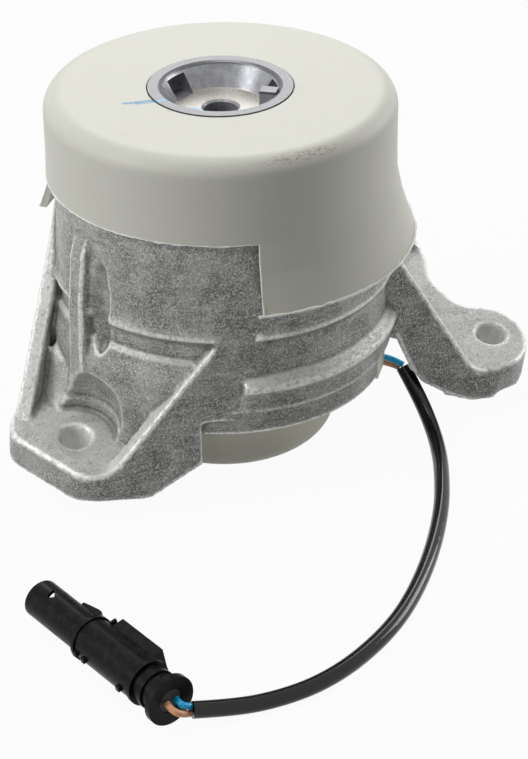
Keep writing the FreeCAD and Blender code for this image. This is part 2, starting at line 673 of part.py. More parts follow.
# Ramp between the gusset walls, drawn square to the foot's plane
RAMP_ANGLE = -162.4
plane_at_axis = float(foot_line_height) - float(foot_line) * math.tan(math.radians(float(foot_tilt)))
ramp_turn = FreeCAD.Rotation(X_AXIS, float(foot_tilt)).multiply(FreeCAD.Rotation(Y_AXIS, RAMP_ANGLE))
ramp_sketch = polygon(housing, "ramp_sketch", "XZ_Plane", [
    (housing_bore - 4.0, -9.0), (housing_radius + 8.4, -9.0), (housing_radius + 8.4, 0.4),
    (housing_radius + 6.0, spot_face_step), (housing_radius + 1.8, spot_face_step + 8.0),
    (housing_bore - 1.0, spot_face_step + 14.0), (housing_bore - 4.0, spot_face_step + 14.0)],
    FreeCAD.Placement(FreeCAD.Vector(0, plane_at_axis, 0), ramp_turn))
pad(housing, ramp_sketch, "ramp", 23.5)

left_rib = polygon(housing, "left_rib_sketch", "XZ_Plane", [
    (housing_bore, 22.0), (housing_radius + 6.5, 22.0), (housing_radius + 5.0, 38.0),
    (housing_radius + 4.2, 62.0), (housing_radius + 2.6, 76.0), (housing_radius - 0.5, 84.0),
    (housing_bore, 84.0)], FreeCAD.Placement(ORIGIN, FreeCAD.Rotation(Y_AXIS, -168.5)))
pad(housing, left_rib, "left_rib", 7.0, midplane=True)

# Right foot: slab with a lobe that runs back, and a gusset wall at each end
toe_edge = right_hole + right_toe
RIGHT_CORNERS = (
    ("right_toe_front", (toe_edge, -35.4), 15.0), ("right_toe_rear", (toe_edge, -10.6), 13.0),
    ("right_hollow", (80.8, -5.0), 10.0), ("right_neck", (77.9, 11.0), 14.0),
    ("right_lobe", (82.4, 19.5), 8.0), ("right_lobe_end", (81.6, 33.0), 5.0))
right_slab = polygon(housing, "right_slab_sketch", "XY_Plane", [
    foot_point(72.0, -35.4), *(foot_point(*corner) for _, corner, _ in RIGHT_CORNERS),
    foot_point(74.0, 38.0), foot_point(46.0, 38.0),
    foot_point(47.0, 12.0), foot_point(62.0, -2.0), foot_point(64.0, -30.0)], foot_plane)
pad(housing, right_slab, "right_slab", foot_thickness + right_foot_extra, reverse=True)
for name, corner, radius in RIGHT_CORNERS:
    round_corner(housing, name, corner, radius)
right_front = polygon(housing, "right_front_sketch", "XZ_Plane", [
    (42.0, 72.0), (45.0, 69.5), (75.1, 18.2), (79.0, 16.6), (84.0, 15.8), (84.0, 4.0), (76.5, 4.6),
    (65.8, 10.0), (58.6, 15.0), (55.5, 19.5), (52.0, 27.5), (48.5, 36.5), (42.0, 36.5)],
    wall_plane(-100.7, 20.3))
pad(housing, right_front, "right_front_wall", foot_wall, reverse=True)
right_rear = polygon(housing, "right_rear_sketch", "XZ_Plane", [
    (-77.0, 18.0), (-78.0, 30.2), (-74.5, 33.0), (-40.0, 64.0), (-28.0, 64.0), (-28.0, 26.0),
    (-48.0, 19.0)], wall_plane(81.2, 42.5))
pad(housing, right_rear, "right_rear_wall", foot_wall, reverse=True)

# Bore for the stack, with the snap ring's groove and the seat of the stop plate
lip_radius = housing_bore - 0.8
shaft_clearance = housing_bore + 0.3
revolve(housing, "bore", [
    (0, 0), (shaft_clearance, 0), (shaft_clearance, housing_foot), (housing_bore, housing_foot + 0.6),
    (housing_bore, can_flange_height - snap_thickness), (ring_groove, can_flange_height - snap_thickness),
    (ring_groove, can_flange_height), (housing_bore, can_flange_height), (housing_bore, spring_ring_top),
    (housing_bore + lip_counterbore, spring_ring_top), (housing_bore + lip_counterbore, stop_plate_top),
    (lip_radius, stop_plate_top), (lip_radius - 1.2, housing_top + 1.0), (0, housing_top + 1.0)],
    "PartDesign::Groove")

# Plain wall where the ledges end beside the left foot
ledge_ends = polygon(housing, "ledge_end_sketch", "XZ_Plane", [
    (-30.0, 33.5), (-4.6, 33.5), (-3.6, 46.0), (-0.6, 52.0), (0.3, 61.5), (-30.0, 61.5)],
    wall_plane(-103.6, front_wall_distance + 0.05))
pocket(housing, ledge_ends, "ledge_ends", 6.0, reverse=True)

# Scoop beside the rib on the left
SCOOP_ANGLE = math.radians(-159.3)
scoop_place = float(housing_radius) + 1.2
scoop_sketch = polygon(housing, "scoop_sketch", "XZ_Plane", [
    (0, 44.0), (2.6, 48.0), (3.5, 56.0), (3.5, 66.0), (2.6, 73.0), (0, 78.0)],
    FreeCAD.Placement(
        FreeCAD.Vector(scoop_place * math.cos(SCOOP_ANGLE), 0, -scoop_place * math.sin(SCOOP_ANGLE)),
        FreeCAD.Rotation()))
turned_cut(housing, scoop_sketch, "scoop")

# Foot holes, with the washer seat and the rounded room for the tool at the left one
spot_sketch = polygon(housing, "spot_sketch", "XZ_Plane", [
    (0, 0.0), (spot_face_radius, 0.0), (spot_face_radius, spot_face_step),
    (spot_face_radius + tool_clearance, spot_face_step), (spot_face_radius + tool_clearance, 9.0),
    (spot_face_radius, 13.5), (spot_face_radius - 1.6, 16.0), (spot_face_radius - 4.5, 18.0), (0, 19.0)],
    FreeCAD.Placement(
        FreeCAD.Vector(float(left_hole), float(foot_line_height), -float(foot_line)),
        FreeCAD.Rotation(X_AXIS, float(foot_tilt))))
turned_cut(housing, spot_sketch, "spot_clearance")
for side, place in (("left", left_hole), ("right", right_hole)):
    hole_sketch = circle_sketch(
        housing, f"{side}_hole_sketch", "XY_Plane", foot_hole_radius, place, 0, foot_plane)
    pocket(housing, hole_sketch, f"{side}_hole", 2 * foot_thickness + 4.0, midplane=True)


def tilted_rims(shape, radius):
    """Names of the circular edges of this radius on the feet's top faces."""
    names = []
    up = foot_plane.Rotation.multVec(Z_AXIS)
    for index, edge in enumerate(shape.Edges, 1):
        if isinstance(edge.Curve, Part.Circle) and abs(edge.Curve.Radius - float(radius)) < 0.01:
            height = (edge.Curve.Center - foot_plane.Base).dot(up)
            if abs(height) < 0.1:
                names.append(f"Edge{index}")
    return names


dress(housing, "hole_chamfers", "PartDesign::Chamfer",
      tilted_rims(housing.Tip.Shape, foot_hole_radius), foot_hole_chamfer)

# Cut for the lead through the can's wall, and the grommet in it
LEAD_ANGLE = -21.5
lead_height = 18.5
grommet_radius = 2.9
lead_cut = circle_sketch(
    bottom_can, "lead_cut_sketch", "YZ_Plane", grommet_radius, 0, lead_height,
    FreeCAD.Placement(ORIGIN, FreeCAD.Rotation(Y_AXIS, LEAD_ANGLE)))
pocket(bottom_can, lead_cut, "lead_cut", can_radius + 4.0, reverse=True)

# Beige nose of the can in a notch of the housing's flange
nose_seat = FreeCAD.Placement(FreeCAD.Vector(0, 0, float(bead_seat)), FreeCAD.Rotation())
nose_sketch = polygon(bottom_can, "nose_sketch", "XY_Plane", [
    (can_radius + 1.0, -nose_half), (housing_radius - 0.4, -nose_half),
    (housing_radius - 0.4, nose_half), (can_radius + 1.0, nose_half)], nose_seat.multiply(nose_turn))
pad(bottom_can, nose_sketch, "nose", 6.0, reverse=True)
notch_seat = FreeCAD.Placement(FreeCAD.Vector(0, 0, float(housing_foot - 1.0)), FreeCAD.Rotation())
notch_sketch = polygon(housing, "flange_notch_sketch", "XY_Plane", [
    (housing_bore - 3.0, -nose_room), (housing_radius + 4.0, -nose_room),
    (housing_radius + 4.0, nose_room), (housing_bore - 3.0, nose_room)], notch_seat.multiply(nose_turn))
pocket(housing, notch_sketch, "flange_notch", 6.8 + float(stack_gap), reverse=True)

grommet_tip = can_radius + 3.0
wire_grommet = new_body("wire_grommet")
revolve(wire_grommet, "grommet_turned", [
    (0, yoke_radius), (grommet_radius, yoke_radius), (grommet_radius, can_radius + 0.3),
    (grommet_radius + 0.8, can_radius + 0.3), (grommet_radius + 0.4, grommet_tip), (0, grommet_tip)])
radial = FreeCAD.Vector(math.cos(math.radians(LEAD_ANGLE)), math.sin(math.radians(LEAD_ANGLE)), 0)
wire_grommet.Placement = FreeCAD.Placement(
    FreeCAD.Vector(0, 0, lead_height), FreeCAD.Rotation(Z_AXIS, radial))

# Lead: two wires into a sleeve that lies on the ground, and the wires again at the connector
SLEEVE_ROUTE = [
    (51.7, -22.0, 16.6), (53.6, -30.0, 9.0), (52.4, -41.0, 3.9), (48.4, -53.0, 2.45),
    (42.6, -65.0, 2.45), (34.9, -79.0, 2.45), (22.7, -96.3, 2.45), (8.8, -112.3, 2.45),
    (-5.3, -125.0, 2.45), (-21.6, -134.6, 2.45), (-35.2, -139.4, 2.45), (-47.7, -140.6, 2.45),
    (-60.2, -139.6, 2.9), (-72.0, -137.4, 4.6)]
BLUE_START = [(35.0, -13.7, 19.6), (43.4, -17.2, 20.6), (48.8, -20.2, 19.6), (51.4, -22.3, 17.7)]
BROWN_START = [(35.0, -13.7, 17.4), (43.0, -16.6, 18.3), (48.2, -19.0, 17.5), (50.9, -20.9, 16.1)]
BLUE_END = [(-72.5, -137.2, 5.8), (-74.1, -137.6, 6.7), (-75.2, -137.0, 7.2), (-75.5, -134.5, 7.4)]
BROWN_END = [(-72.8, -137.7, 3.9), (-75.9, -139.0, 5.4), (-78.2, -138.0, 7.0), (-78.5, -135.3, 7.4)]


def tube_solid(label, route, radius):
    """A round tube along straight runs joined by tangent arcs."""
    points = [FreeCAD.Vector(*point) for point in route]
    edges = []
    start = points[0]
    radii = []
    for before, corner, after in zip(points, points[1:], points[2:]):
        back = before - corner
        ahead = after - corner
        run = min(back.Length, ahead.Length)
        back.normalize()
        ahead.normalize()
        turn = math.pi - back.getAngle(ahead)
        radii.append(0.45 * run / math.tan(turn / 2))
        entry = corner + back * (0.45 * run)
        leave = corner + ahead * (0.45 * run)
        inward = (back + ahead).normalize()
        middle = corner + inward * (radii[-1] / math.cos(turn / 2) - radii[-1])
        edges += [Part.LineSegment(start, entry).toShape(), Part.Arc(entry, middle, leave).toShape()]
        start = leave
    edges.append(Part.LineSegment(start, points[-1]).toShape())
    path = Part.Wire(edges)
    section = Part.Wire(Part.makeCircle(float(radius), points[0], points[1] - points[0]))
    solid = path.makePipeShell([section], True, False)
    expected = math.pi * float(radius) ** 2 * path.Length
    print(label, "length", round(path.Length, 1), "radii", [round(value, 1) for value in radii],
          "volume ratio", round(solid.Volume / expected, 4))
    return solid


def tube_node(label, routes, radius):
    """One node of round tube: a solid for each route."""
    item = doc.addObject("Part::Feature", label)
    item.Label = label
    item.Shape = Part.makeCompound([tube_solid(label, route, radius) for route in routes])
    return item


cable_sleeve = tube_node("cable_sleeve", [SLEEVE_ROUTE], sleeve_radius)
wire_blue = tube_node("wire_blue", [BLUE_START, BLUE_END], wire_radius)
wire_brown = tube_node("wire_brown", [BROWN_START, BROWN_END], wire_radius)

# Return spring between the pole core and the plunger
COIL_POINTS = 7
spring_base = float(pole_top - 2.0 + spring_wire)
spring_rise = float(plunger_base + 2.0 - spring_wire) - spring_base
coil_steps = round(COIL_POINTS * float(spring_turns))
coil_route = []
for step in range(coil_steps + 1):
    angle = 2 * math.pi * step / COIL_POINTS
    coil_route.append((float(spring_coil_radius) * math.cos(angle), float(spring_coil_radius) * math.sin(angle),
                       spring_base + spring_rise * step / coil_steps))
plunger_spring = tube_node("plunger_spring", [coil_route], spring_wire / 2)

# Connector, modelled upright from its mouth and then laid down
plug_heading = math.radians(float(plug_turn))
plug_axis = FreeCAD.Vector(math.cos(plug_heading), math.sin(plug_heading), 0)
plug_side = Z_AXIS.cross(plug_axis)
PLUG_ROLL = math.radians(11.0)
plug_tower = plug_side * math.cos(PLUG_ROLL) + Z_AXIS * math.sin(PLUG_ROLL)
plug_place = FreeCAD.Placement(
    FreeCAD.Vector(float(plug_mouth_x), float(plug_mouth_y), float(plug_axis_height)),
    FreeCAD.Rotation(plug_tower, plug_axis.cross(plug_tower), plug_axis, "ZXY"))
mouth_depth = 14.0
collar_place = 23.5
barrel_end = 49.0
mouth_radius = plug_tube_radius - plug_wall
socket_radius = plug_barrel_radius - plug_wall

connector_body = new_body("connector_body")
revolve(connector_body, "plug_turned", [
    (0, mouth_depth), (mouth_radius, mouth_depth), (mouth_radius, 0), (plug_tube_radius, 0),
    (plug_tube_radius, collar_place), (plug_barrel_radius + 0.5, collar_place),
    (plug_barrel_radius + 0.5, collar_place + 1.2), (plug_barrel_radius, collar_place + 1.2),
    (plug_barrel_radius, barrel_end), (socket_radius, barrel_end), (socket_radius, collar_place + 8.0),
    (0, collar_place + 8.0)])
tower_foot = plug_barrel_radius - 1.0
tower_top = plug_barrel_radius + 2.5
ramp_foot = plug_tube_radius - 1.2
ramp_top = plug_tube_radius + 1.3
rib_top = plug_barrel_radius + 1.0
for name, points, length in (
        ("tower", [(tower_foot, 28.0), (tower_top, 28.0), (tower_top, 46.0), (tower_foot, 46.0)], 6.8),
        ("latch_ramp", [(ramp_foot, 13.5), (plug_tube_radius + 0.2, 13.5), (ramp_top, 19.0),
                        (ramp_top, 20.5), (ramp_foot, 23.0)], 5.4),
        ("rib_front", [(0, 26.4), (rib_top, 26.4), (rib_top, 27.2), (0, 27.2)], 7.5)):
    side_sketch = polygon(connector_body, f"{name}_sketch", "XZ_Plane", points)
    pad(connector_body, side_sketch, name, length, midplane=True)
for number, height in enumerate((24.8, 28.6, 44.6), 1):
    peg = polygon(connector_body, f"peg_sketch_{number}", "XZ_Plane", [
        (0 - plug_barrel_radius - 0.9, height), (0 - plug_barrel_radius + 0.5, height),
        (0 - plug_barrel_radius + 0.5, height + 1.4), (0 - plug_barrel_radius - 0.9, height + 1.4)])
    pad(connector_body, peg, f"peg_{number}", 1.6, midplane=True)
key_window = polygon(connector_body, "key_window_sketch", "XZ_Plane", [
    (-1.6, 6.6), (1.6, 5.4), (1.2, 9.4)])
pocket(connector_body, key_window, "key_window", plug_tube_radius + 1.0)

connector_lock = new_body("connector_lock")
revolve(connector_lock, "lock_turned", [
    (3.6, collar_place + 8.5), (socket_radius - 0.1, collar_place + 8.5), (socket_radius - 0.1, barrel_end),
    (plug_barrel_radius + 0.4, barrel_end), (plug_barrel_radius + 0.4, barrel_end + 1.2),
    (plug_tube_radius, barrel_end + 1.2), (plug_tube_radius, barrel_end + 3.6), (3.6, barrel_end + 3.6)])
connector_cap = new_body("connector_cap")
cap_base = barrel_end + 3.6
plug_end = 60.0
revolve(connector_cap, "cap_turned", [
    (3.6, cap_base), (plug_barrel_radius - 0.4, cap_base), (plug_barrel_radius - 0.4, cap_base + 1.4),
    (plug_tube_radius - 0.3, cap_base + 1.4), (plug_tube_radius - 0.3, plug_end - 1.8),
    (plug_disc_radius, plug_end - 1.8), (plug_disc_radius, plug_end), (3.6, plug_end)])
wire_seal = new_body("wire_seal")
revolve(wire_seal, "seal_turned", [
    (0, cap_base - 4.0), (3.6, cap_base - 4.0), (3.6, plug_end - 0.4), (0, plug_end - 0.4)])
pin_base = 4.0
pins = []
for side in (-1, 1):
    pin = doc.addObject("Part::Cylinder", "pin")
    pin.setExpression("Radius", pin_radius.formula)
    pin.Height = collar_place + 8.0 - pin_base
    pin.Placement = FreeCAD.Placement(FreeCAD.Vector(0, 1.9 * side, pin_base), FreeCAD.Rotation())
    pins.append(pin)
pin_slot = polygon(connector_body, "pin_slot_sketch", "XY_Plane", [
    (0 - pin_radius, -2.7), (pin_radius, -2.7), (pin_radius, 2.7), (0 - pin_radius, 2.7)],
    FreeCAD.Placement(FreeCAD.Vector(0, 0, collar_place + 8.0), FreeCAD.Rotation()))
pocket(connector_body, pin_slot, "pin_slot", 20.0)
connector_pins = doc.addObject("Part::Compound", "connector_pins")
connector_pins.Label = "connector_pins"
connector_pins.Links = pins
for item in (connector_body, connector_lock, connector_cap, wire_seal, connector_pins):
    item.Placement = plug_place


doc.recompute()
KINDS = ("PartDesign::Body", "Part::Feature", "Part::Compound")
pieces = [item for item in doc.Objects if item.TypeId in KINDS]
for item in doc.Objects:
    if "Invalid" in item.State or "Error" in item.State:
        raise ValueError(f"{item.Name} failed: {item.State}")
os.makedirs("parts", exist_ok=True)
for item in pieces:
    shape = item.Shape
    if shape.isNull() or not shape.isValid() or not shape.Solids:
        raise ValueError(f"{item.Label} has no valid solid")
for item in pieces:
    item.Shape.exportStep(f"parts/{item.Label}.step")
    print(item.Label, len(item.Shape.Solids), round(item.Shape.Volume / 1000, 2), "cm3")
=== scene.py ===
"""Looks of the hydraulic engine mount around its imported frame.

The casting, the moulded cover, the alloy core, the bottom can, the lead and its plug get
their final surfaces here. Lengths are metres unless a name says millimetres.
"""

import logging
import math
from dataclasses import dataclass
from enum import Enum
from typing import Callable, Iterable, Sequence

import bpy
from mathutils import Matrix, Vector, noise


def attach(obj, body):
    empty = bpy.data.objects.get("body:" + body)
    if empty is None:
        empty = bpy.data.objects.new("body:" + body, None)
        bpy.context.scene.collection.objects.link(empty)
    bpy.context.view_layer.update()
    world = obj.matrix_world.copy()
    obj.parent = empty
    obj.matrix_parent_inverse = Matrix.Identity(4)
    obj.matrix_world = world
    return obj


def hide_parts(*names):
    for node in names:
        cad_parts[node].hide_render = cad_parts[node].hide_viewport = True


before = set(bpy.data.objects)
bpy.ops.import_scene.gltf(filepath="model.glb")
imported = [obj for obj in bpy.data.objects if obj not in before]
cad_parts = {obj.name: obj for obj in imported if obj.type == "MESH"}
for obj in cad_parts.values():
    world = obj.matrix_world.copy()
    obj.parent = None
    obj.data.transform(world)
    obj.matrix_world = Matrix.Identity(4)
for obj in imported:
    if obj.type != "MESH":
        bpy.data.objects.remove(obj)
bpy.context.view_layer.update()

LOG = logging.getLogger("engine_mount")
MM = 0.001
WELD = 0.002 * MM
BODY = "root"
Colour = tuple[float, float, float]
Point = tuple[float, float, float]
Stroke = tuple[float, float, float, float, float]
Socket = bpy.types.NodeSocket


class Lay(Enum):
    """How a cord lies."""

    LOOSE = "loose"


class FarEnd(Enum):
    """What a cord ends in."""

    CONNECTOR = "connector"


def linear(red: int, green: int, blue: int) -> Colour:
    """Turns an 8-bit screen colour into scene-linear values.

    Args:
        red: Red from 0 to 255.
        green: Green from 0 to 255.
        blue: Blue from 0 to 255.

    Returns:
        The three linear values.
    """
    def one(value: int) -> float:
        """Turns one channel."""
        share = value / 255
        return share / 12.92 if share <= 0.04045 else ((share + 0.055) / 1.055) ** 2.4

    return one(red), one(green), one(blue)


class Nodes:
    """A short hand for building one node tree."""

    def __init__(self, tree: bpy.types.NodeTree) -> None:
        """Keeps the tree.

        Args:
            tree: The tree that gets the nodes.
        """
        self.tree = tree

    def add(self, kind: str, inputs: dict | None = None, **settings: object) -> bpy.types.Node:
        """Adds one node.

        Args:
            kind: The node's type name.
            inputs: Values or sockets for its inputs, by name or number.
            **settings: Properties of the node.

        Returns:
            The new node.
        """
        node = self.tree.nodes.new(kind)
        for name, value in settings.items():
            setattr(node, name, value)
        for name, value in (inputs or {}).items():
            socket = node.inputs[name]
            if isinstance(value, Socket):
                self.tree.links.new(value, socket)
            else:
                socket.default_value = value
        return node

    def maths(self, operation: str, first: object, second: object = 0.0) -> Socket:
        """Adds a Math node and returns its value."""
        return self.add("ShaderNodeMath", {0: first, 1: second}, operation=operation).outputs[0]

    def vectors(self, operation: str, first: object, second: object = None) -> bpy.types.Node:
        """Adds a Vector Math node and returns it; SCALE takes a number as its second value."""
        values = {0: first}
        if second is not None:
            values["Scale" if operation == "SCALE" else 1] = second
        return self.add("ShaderNodeVectorMath", values, operation=operation)

    def ramp(self, value: Socket, low: float | Socket, high: float | Socket,
             start: float = 0.0, end: float = 1.0) -> Socket:
        """Maps a value smoothly from one range to another.

        Args:
            value: The socket to map.
            low: The input that gives start.
            high: The input that gives end.
            start: The first output.
            end: The last output.

        Returns:
            The mapped value.
        """
        node = self.add("ShaderNodeMapRange", {"Value": value, "From Min": low, "From Max": high,
                                               "To Min": start, "To Max": end},
                        interpolation_type="SMOOTHSTEP")
        return node.outputs[0]

    def noise(self, place: Socket, scale: float | Socket, detail: float = 3.0,
              rough: float = 0.55) -> Socket:
        """Adds a noise pattern and returns its value.

        Args:
            place: The coordinates.
            scale: Lumps per unit of the coordinates.
            detail: Octaves.
            rough: How strong the fine octaves are.

        Returns:
            The noise value.
        """
        node = self.add("ShaderNodeTexNoise", {"Vector": place, "Scale": scale, "Detail": detail,
                                               "Roughness": rough})
        return node.outputs[0]

    def bent(self, place: Socket, scale: float, size: float) -> Socket:
        """The coordinates, moved by a slowly changing offset of up to this size."""
        node = self.add("ShaderNodeTexNoise", {"Vector": place, "Scale": scale, "Detail": 2.0})
        offset = self.vectors("SCALE", node.outputs["Color"], size).outputs[0]
        return self.vectors("ADD", place, offset).outputs[0]

    def stretched(self, place: Socket, *scale: float) -> Socket:
        """The coordinates with each axis scaled by its own number."""
        return self.add("ShaderNodeMapping", {"Vector": place, "Scale": scale}).outputs[0]

    def mix(self, share: object, first: object, second: object) -> Socket:
        """Mixes two colours.

        Args:
            share: The share of the second colour.
            first: A colour or socket.
            second: A colour or socket.

        Returns:
            The mixed colour.
        """
        values = [(*item, 1.0) if isinstance(item, tuple) else item for item in (first, second)]
        node = self.add("ShaderNodeMix", {0: share, 6: values[0], 7: values[1]}, data_type="RGBA")
        return node.outputs[2]

    def layer(self, tone: object, mask: Socket, share: float, over: Colour) -> Socket:
        """Lays a colour over a tone where the mask is, at this share of its strength."""
        return self.mix(self.maths("MULTIPLY", mask, share), tone, over)


@dataclass(frozen=True)
class Pattern:
    """A noise pattern in millimetres that is cut to a mask."""

    per_mm: float
    detail: float
    rough: float
    low: float
    high: float
    start: float = 0.0
    end: float = 1.0
    stretch: Point = (1.0, 1.0, 1.0)

    def mask(self, nodes: Nodes, place: Socket) -> Socket:
        """Adds the pattern.

        Args:
            nodes: The tree's nodes.
            place: The coordinates in millimetres.

        Returns:
            The mask.
        """
        if self.stretch != (1.0, 1.0, 1.0):
            place = nodes.stretched(place, *self.stretch)
        value = nodes.noise(place, self.per_mm, self.detail, self.rough)
        return nodes.ramp(value, self.low, self.high, self.start, self.end)


EDGE_BREAKS = Pattern(0.6, 4.0, 0.55, 0.3, 0.55)
CAST_CLOUDS = Pattern(0.09, 5.0, 0.65, 0.36, 0.62)
FLOW_LINES = Pattern(1.0, 3.0, 0.6, 0.53, 0.62, stretch=(0.10, 0.10, 0.7))
CAST_PITS = Pattern(0.55, 2.0, 0.5, 0.66, 0.72)
# The next pattern breaks up the painted highlights on ridges and upward slopes into patches.
HIGHLIGHT_PATCHES = Pattern(0.8, 5.0, 0.75, 0.3, 0.6, 0.25, 1.0)
STROKE_EDGE = Pattern(1.6, 3.0, 0.55, 0.3, 0.7, -0.2, 0.2)
STROKE_STREAKS = Pattern(1.0, 3.0, 0.55, 0.3, 0.6, 0.55, 1.0, (0.25, 2.4, 1.0))
SCUFF_PATCHES = Pattern(1.3, 5.0, 0.75, 0.42, 0.7, stretch=(0.6, 1.0, 1.3))
METAL_CLOUDS = Pattern(0.35, 4.0, 0.6, 0.35, 0.65)
SAND_GRAINS = Pattern(1.9, 4.0, 0.7, 0.52, 0.68)
RUBBER_BLOOM = Pattern(0.22, 4.0, 0.55, 0.45, 0.75)
PLASTIC_CLOUDS = Pattern(0.4, 4.0, 0.65, 0.42, 0.72)
# FLAT_POINTINESS is the middle of the pointiness masks that paint highlights on ridges and shade in creases.
FLAT_POINTINESS = 0.5
# FLAT_TOP_SHARE, SLOPE_BAND, LEVEL_BAND and TOPS_BREAKS shape the painted top light: a lighter colour painted on
# upward-facing slopes of the casting, broken into patches.
FLAT_TOP_SHARE = 0.55
BORDER = 0.2
MIDDLE_BAND = (0.3, 0.7)
EDGE_BAND = (0.995, 0.86)
SPECK_BAND = (0.44, 0.62)
SLOPE_BAND = (0.25, 0.7)
LEVEL_BAND = (0.8, 0.97)
TOPS_BREAKS = (0.25, 1.0, 0.6, 1.0)
WIDE_SMUDGE_BAND = (0.56, 0.78)
FINE_SMUDGE_BAND = (0.38, 0.62)
MOTTLE_NOISE = (4.0, 0.72)
WIDE_SMUDGE_NOISE = (4.0, 0.6)
FINE_SMUDGE_NOISE = (1.1, 4.0, 0.7)
FLOW_BEND = (0.12, 3.0)
PIT_DEPTH = 0.5
STROKE_BORDER = (0.6, 0.4)


def effect_group(name: str, inputs: Sequence[tuple[str, float]], outputs: Sequence[str],
                 build: Callable[[Nodes, dict], dict]) -> bpy.types.NodeTree:
    """Builds a shader node group once.

    Args:
        name: The group's name.
        inputs: Names and default values of its number inputs.
        outputs: Names of its number outputs.
        build: Fills the group; it gets the nodes and the input sockets and returns the outputs.

    Returns:
        The group.
    """
    group = bpy.data.node_groups.new(name, "ShaderNodeTree")
    for label, value in inputs:
        socket = group.interface.new_socket(label, in_out="INPUT", socket_type="NodeSocketFloat")
        socket.default_value = value
    for label in outputs:
        group.interface.new_socket(label, in_out="OUTPUT", socket_type="NodeSocketFloat")
    nodes = Nodes(group)
    entry = nodes.add("NodeGroupInput")
    results = build(nodes, {label: entry.outputs[label] for label, _ in inputs})
    nodes.add("NodeGroupOutput", results)
    return group


def millimetres(nodes: Nodes) -> Socket:
    """The object coordinates in millimetres."""
    place = nodes.add("ShaderNodeTexCoord").outputs["Object"]
    return nodes.add("ShaderNodeMapping", {"Vector": place, "Scale": (1000.0,) * 3}).outputs[0]


def build_edge_mask(nodes: Nodes, given: dict) -> dict:
    """A mask that is 1 on convex and concave edges, broken up by noise."""
    bevel = nodes.add("ShaderNodeBevel", {"Radius": given["Radius"]}, samples=4)
    normal = nodes.add("ShaderNodeNewGeometry").outputs["Normal"]
    likeness = nodes.vectors("DOT_PRODUCT", bevel.outputs[0], normal).outputs["Value"]
    edge = nodes.ramp(likeness, *EDGE_BAND)
    broken = EDGE_BREAKS.mask(nodes, millimetres(nodes))
    return {"Mask": nodes.maths("MULTIPLY", edge, broken)}


def build_cast_grain(nodes: Nodes, given: dict) -> dict:
    """The raw skin of a die casting: mottled specks, grey clouds and flow lines."""
    place = millimetres(nodes)
    bent = nodes.bent(place, *FLOW_BEND)
    mottle = nodes.noise(bent, given["Specks per mm"], *MOTTLE_NOISE)
    speck = nodes.ramp(mottle, *SPECK_BAND)
    cloud = CAST_CLOUDS.mask(nodes, place)
    lines = FLOW_LINES.mask(nodes, bent)
    pits = CAST_PITS.mask(nodes, place)
    height = nodes.maths("SUBTRACT", mottle, nodes.maths("MULTIPLY", pits, PIT_DEPTH))
    return {"Specks": speck, "Clouds": cloud, "Lines": lines, "Pits": pits, "Height": height}


def build_relief(nodes: Nodes, given: dict) -> dict:
    """Masks of the outward edges, the inward corners and the upward slopes of a dense mesh, used for painted
    highlights on edges and slopes and painted shade in corners.
    """
    geometry = nodes.add("ShaderNodeNewGeometry").outputs
    rough = HIGHLIGHT_PATCHES.mask(nodes, millimetres(nodes))
    ridge, crease = (
        nodes.ramp(geometry["Pointiness"], nodes.maths(operation, FLAT_POINTINESS, given["Low"]),
                   nodes.maths(operation, FLAT_POINTINESS, given["High"]))
        for operation in ("ADD", "SUBTRACT"))
    upward = nodes.add("ShaderNodeSeparateXYZ", {0: geometry["Normal"]}).outputs[2]
    slopes = nodes.maths("MULTIPLY", nodes.ramp(upward, *SLOPE_BAND),
                         nodes.ramp(upward, *LEVEL_BAND, 1.0, FLAT_TOP_SHARE))
    # painted top light: upward slopes painted lighter, in patches
    tops = nodes.maths("MULTIPLY", slopes, nodes.ramp(rough, *TOPS_BREAKS))
    return {"Painted ridge highlights": nodes.maths("MULTIPLY", ridge, rough), "Painted crease shade": crease, "Painted top light": tops}


def build_smudges(nodes: Nodes, given: dict) -> dict:
    """Faint handling marks with soft borders."""
    place = millimetres(nodes)
    wide = nodes.ramp(nodes.noise(place, given["Marks per mm"], *WIDE_SMUDGE_NOISE),
                      *WIDE_SMUDGE_BAND)
    fine = nodes.noise(place, *FINE_SMUDGE_NOISE)
    mask = nodes.maths("MULTIPLY", wide, nodes.ramp(fine, *FINE_SMUDGE_BAND))
    return {"Mask": mask, "Fine": fine}


def build_stroke(nodes: Nodes, given: dict) -> dict:
    """One stroke of a paint pen between two points of the plan, with streaks and ragged ends."""
    place = millimetres(nodes)
    flat = nodes.vectors("MULTIPLY", place, (1.0, 1.0, 0.0)).outputs[0]
    start = nodes.add("ShaderNodeCombineXYZ", {0: given["From X"], 1: given["From Y"]}).outputs[0]
    end = nodes.add("ShaderNodeCombineXYZ", {0: given["To X"], 1: given["To Y"]}).outputs[0]
    way = nodes.vectors("SUBTRACT", end, start).outputs[0]
    offset = nodes.vectors("SUBTRACT", flat, start).outputs[0]
    along = nodes.maths("DIVIDE", nodes.vectors("DOT_PRODUCT", offset, way).outputs["Value"],
                        nodes.vectors("DOT_PRODUCT", way, way).outputs["Value"])
    share = nodes.add("ShaderNodeClamp", {0: along}).outputs[0]
    nearest = nodes.vectors("SCALE", way, share).outputs[0]
    distance = nodes.vectors("DISTANCE", offset, nearest).outputs["Value"]
    ragged = nodes.maths("ADD", distance, STROKE_EDGE.mask(nodes, place))
    outer, inner = (nodes.maths("MULTIPLY", given["Width"], share) for share in STROKE_BORDER)
    body = nodes.ramp(ragged, outer, inner)
    return {"Mask": nodes.maths("MULTIPLY", body, STROKE_STREAKS.mask(nodes, place))}


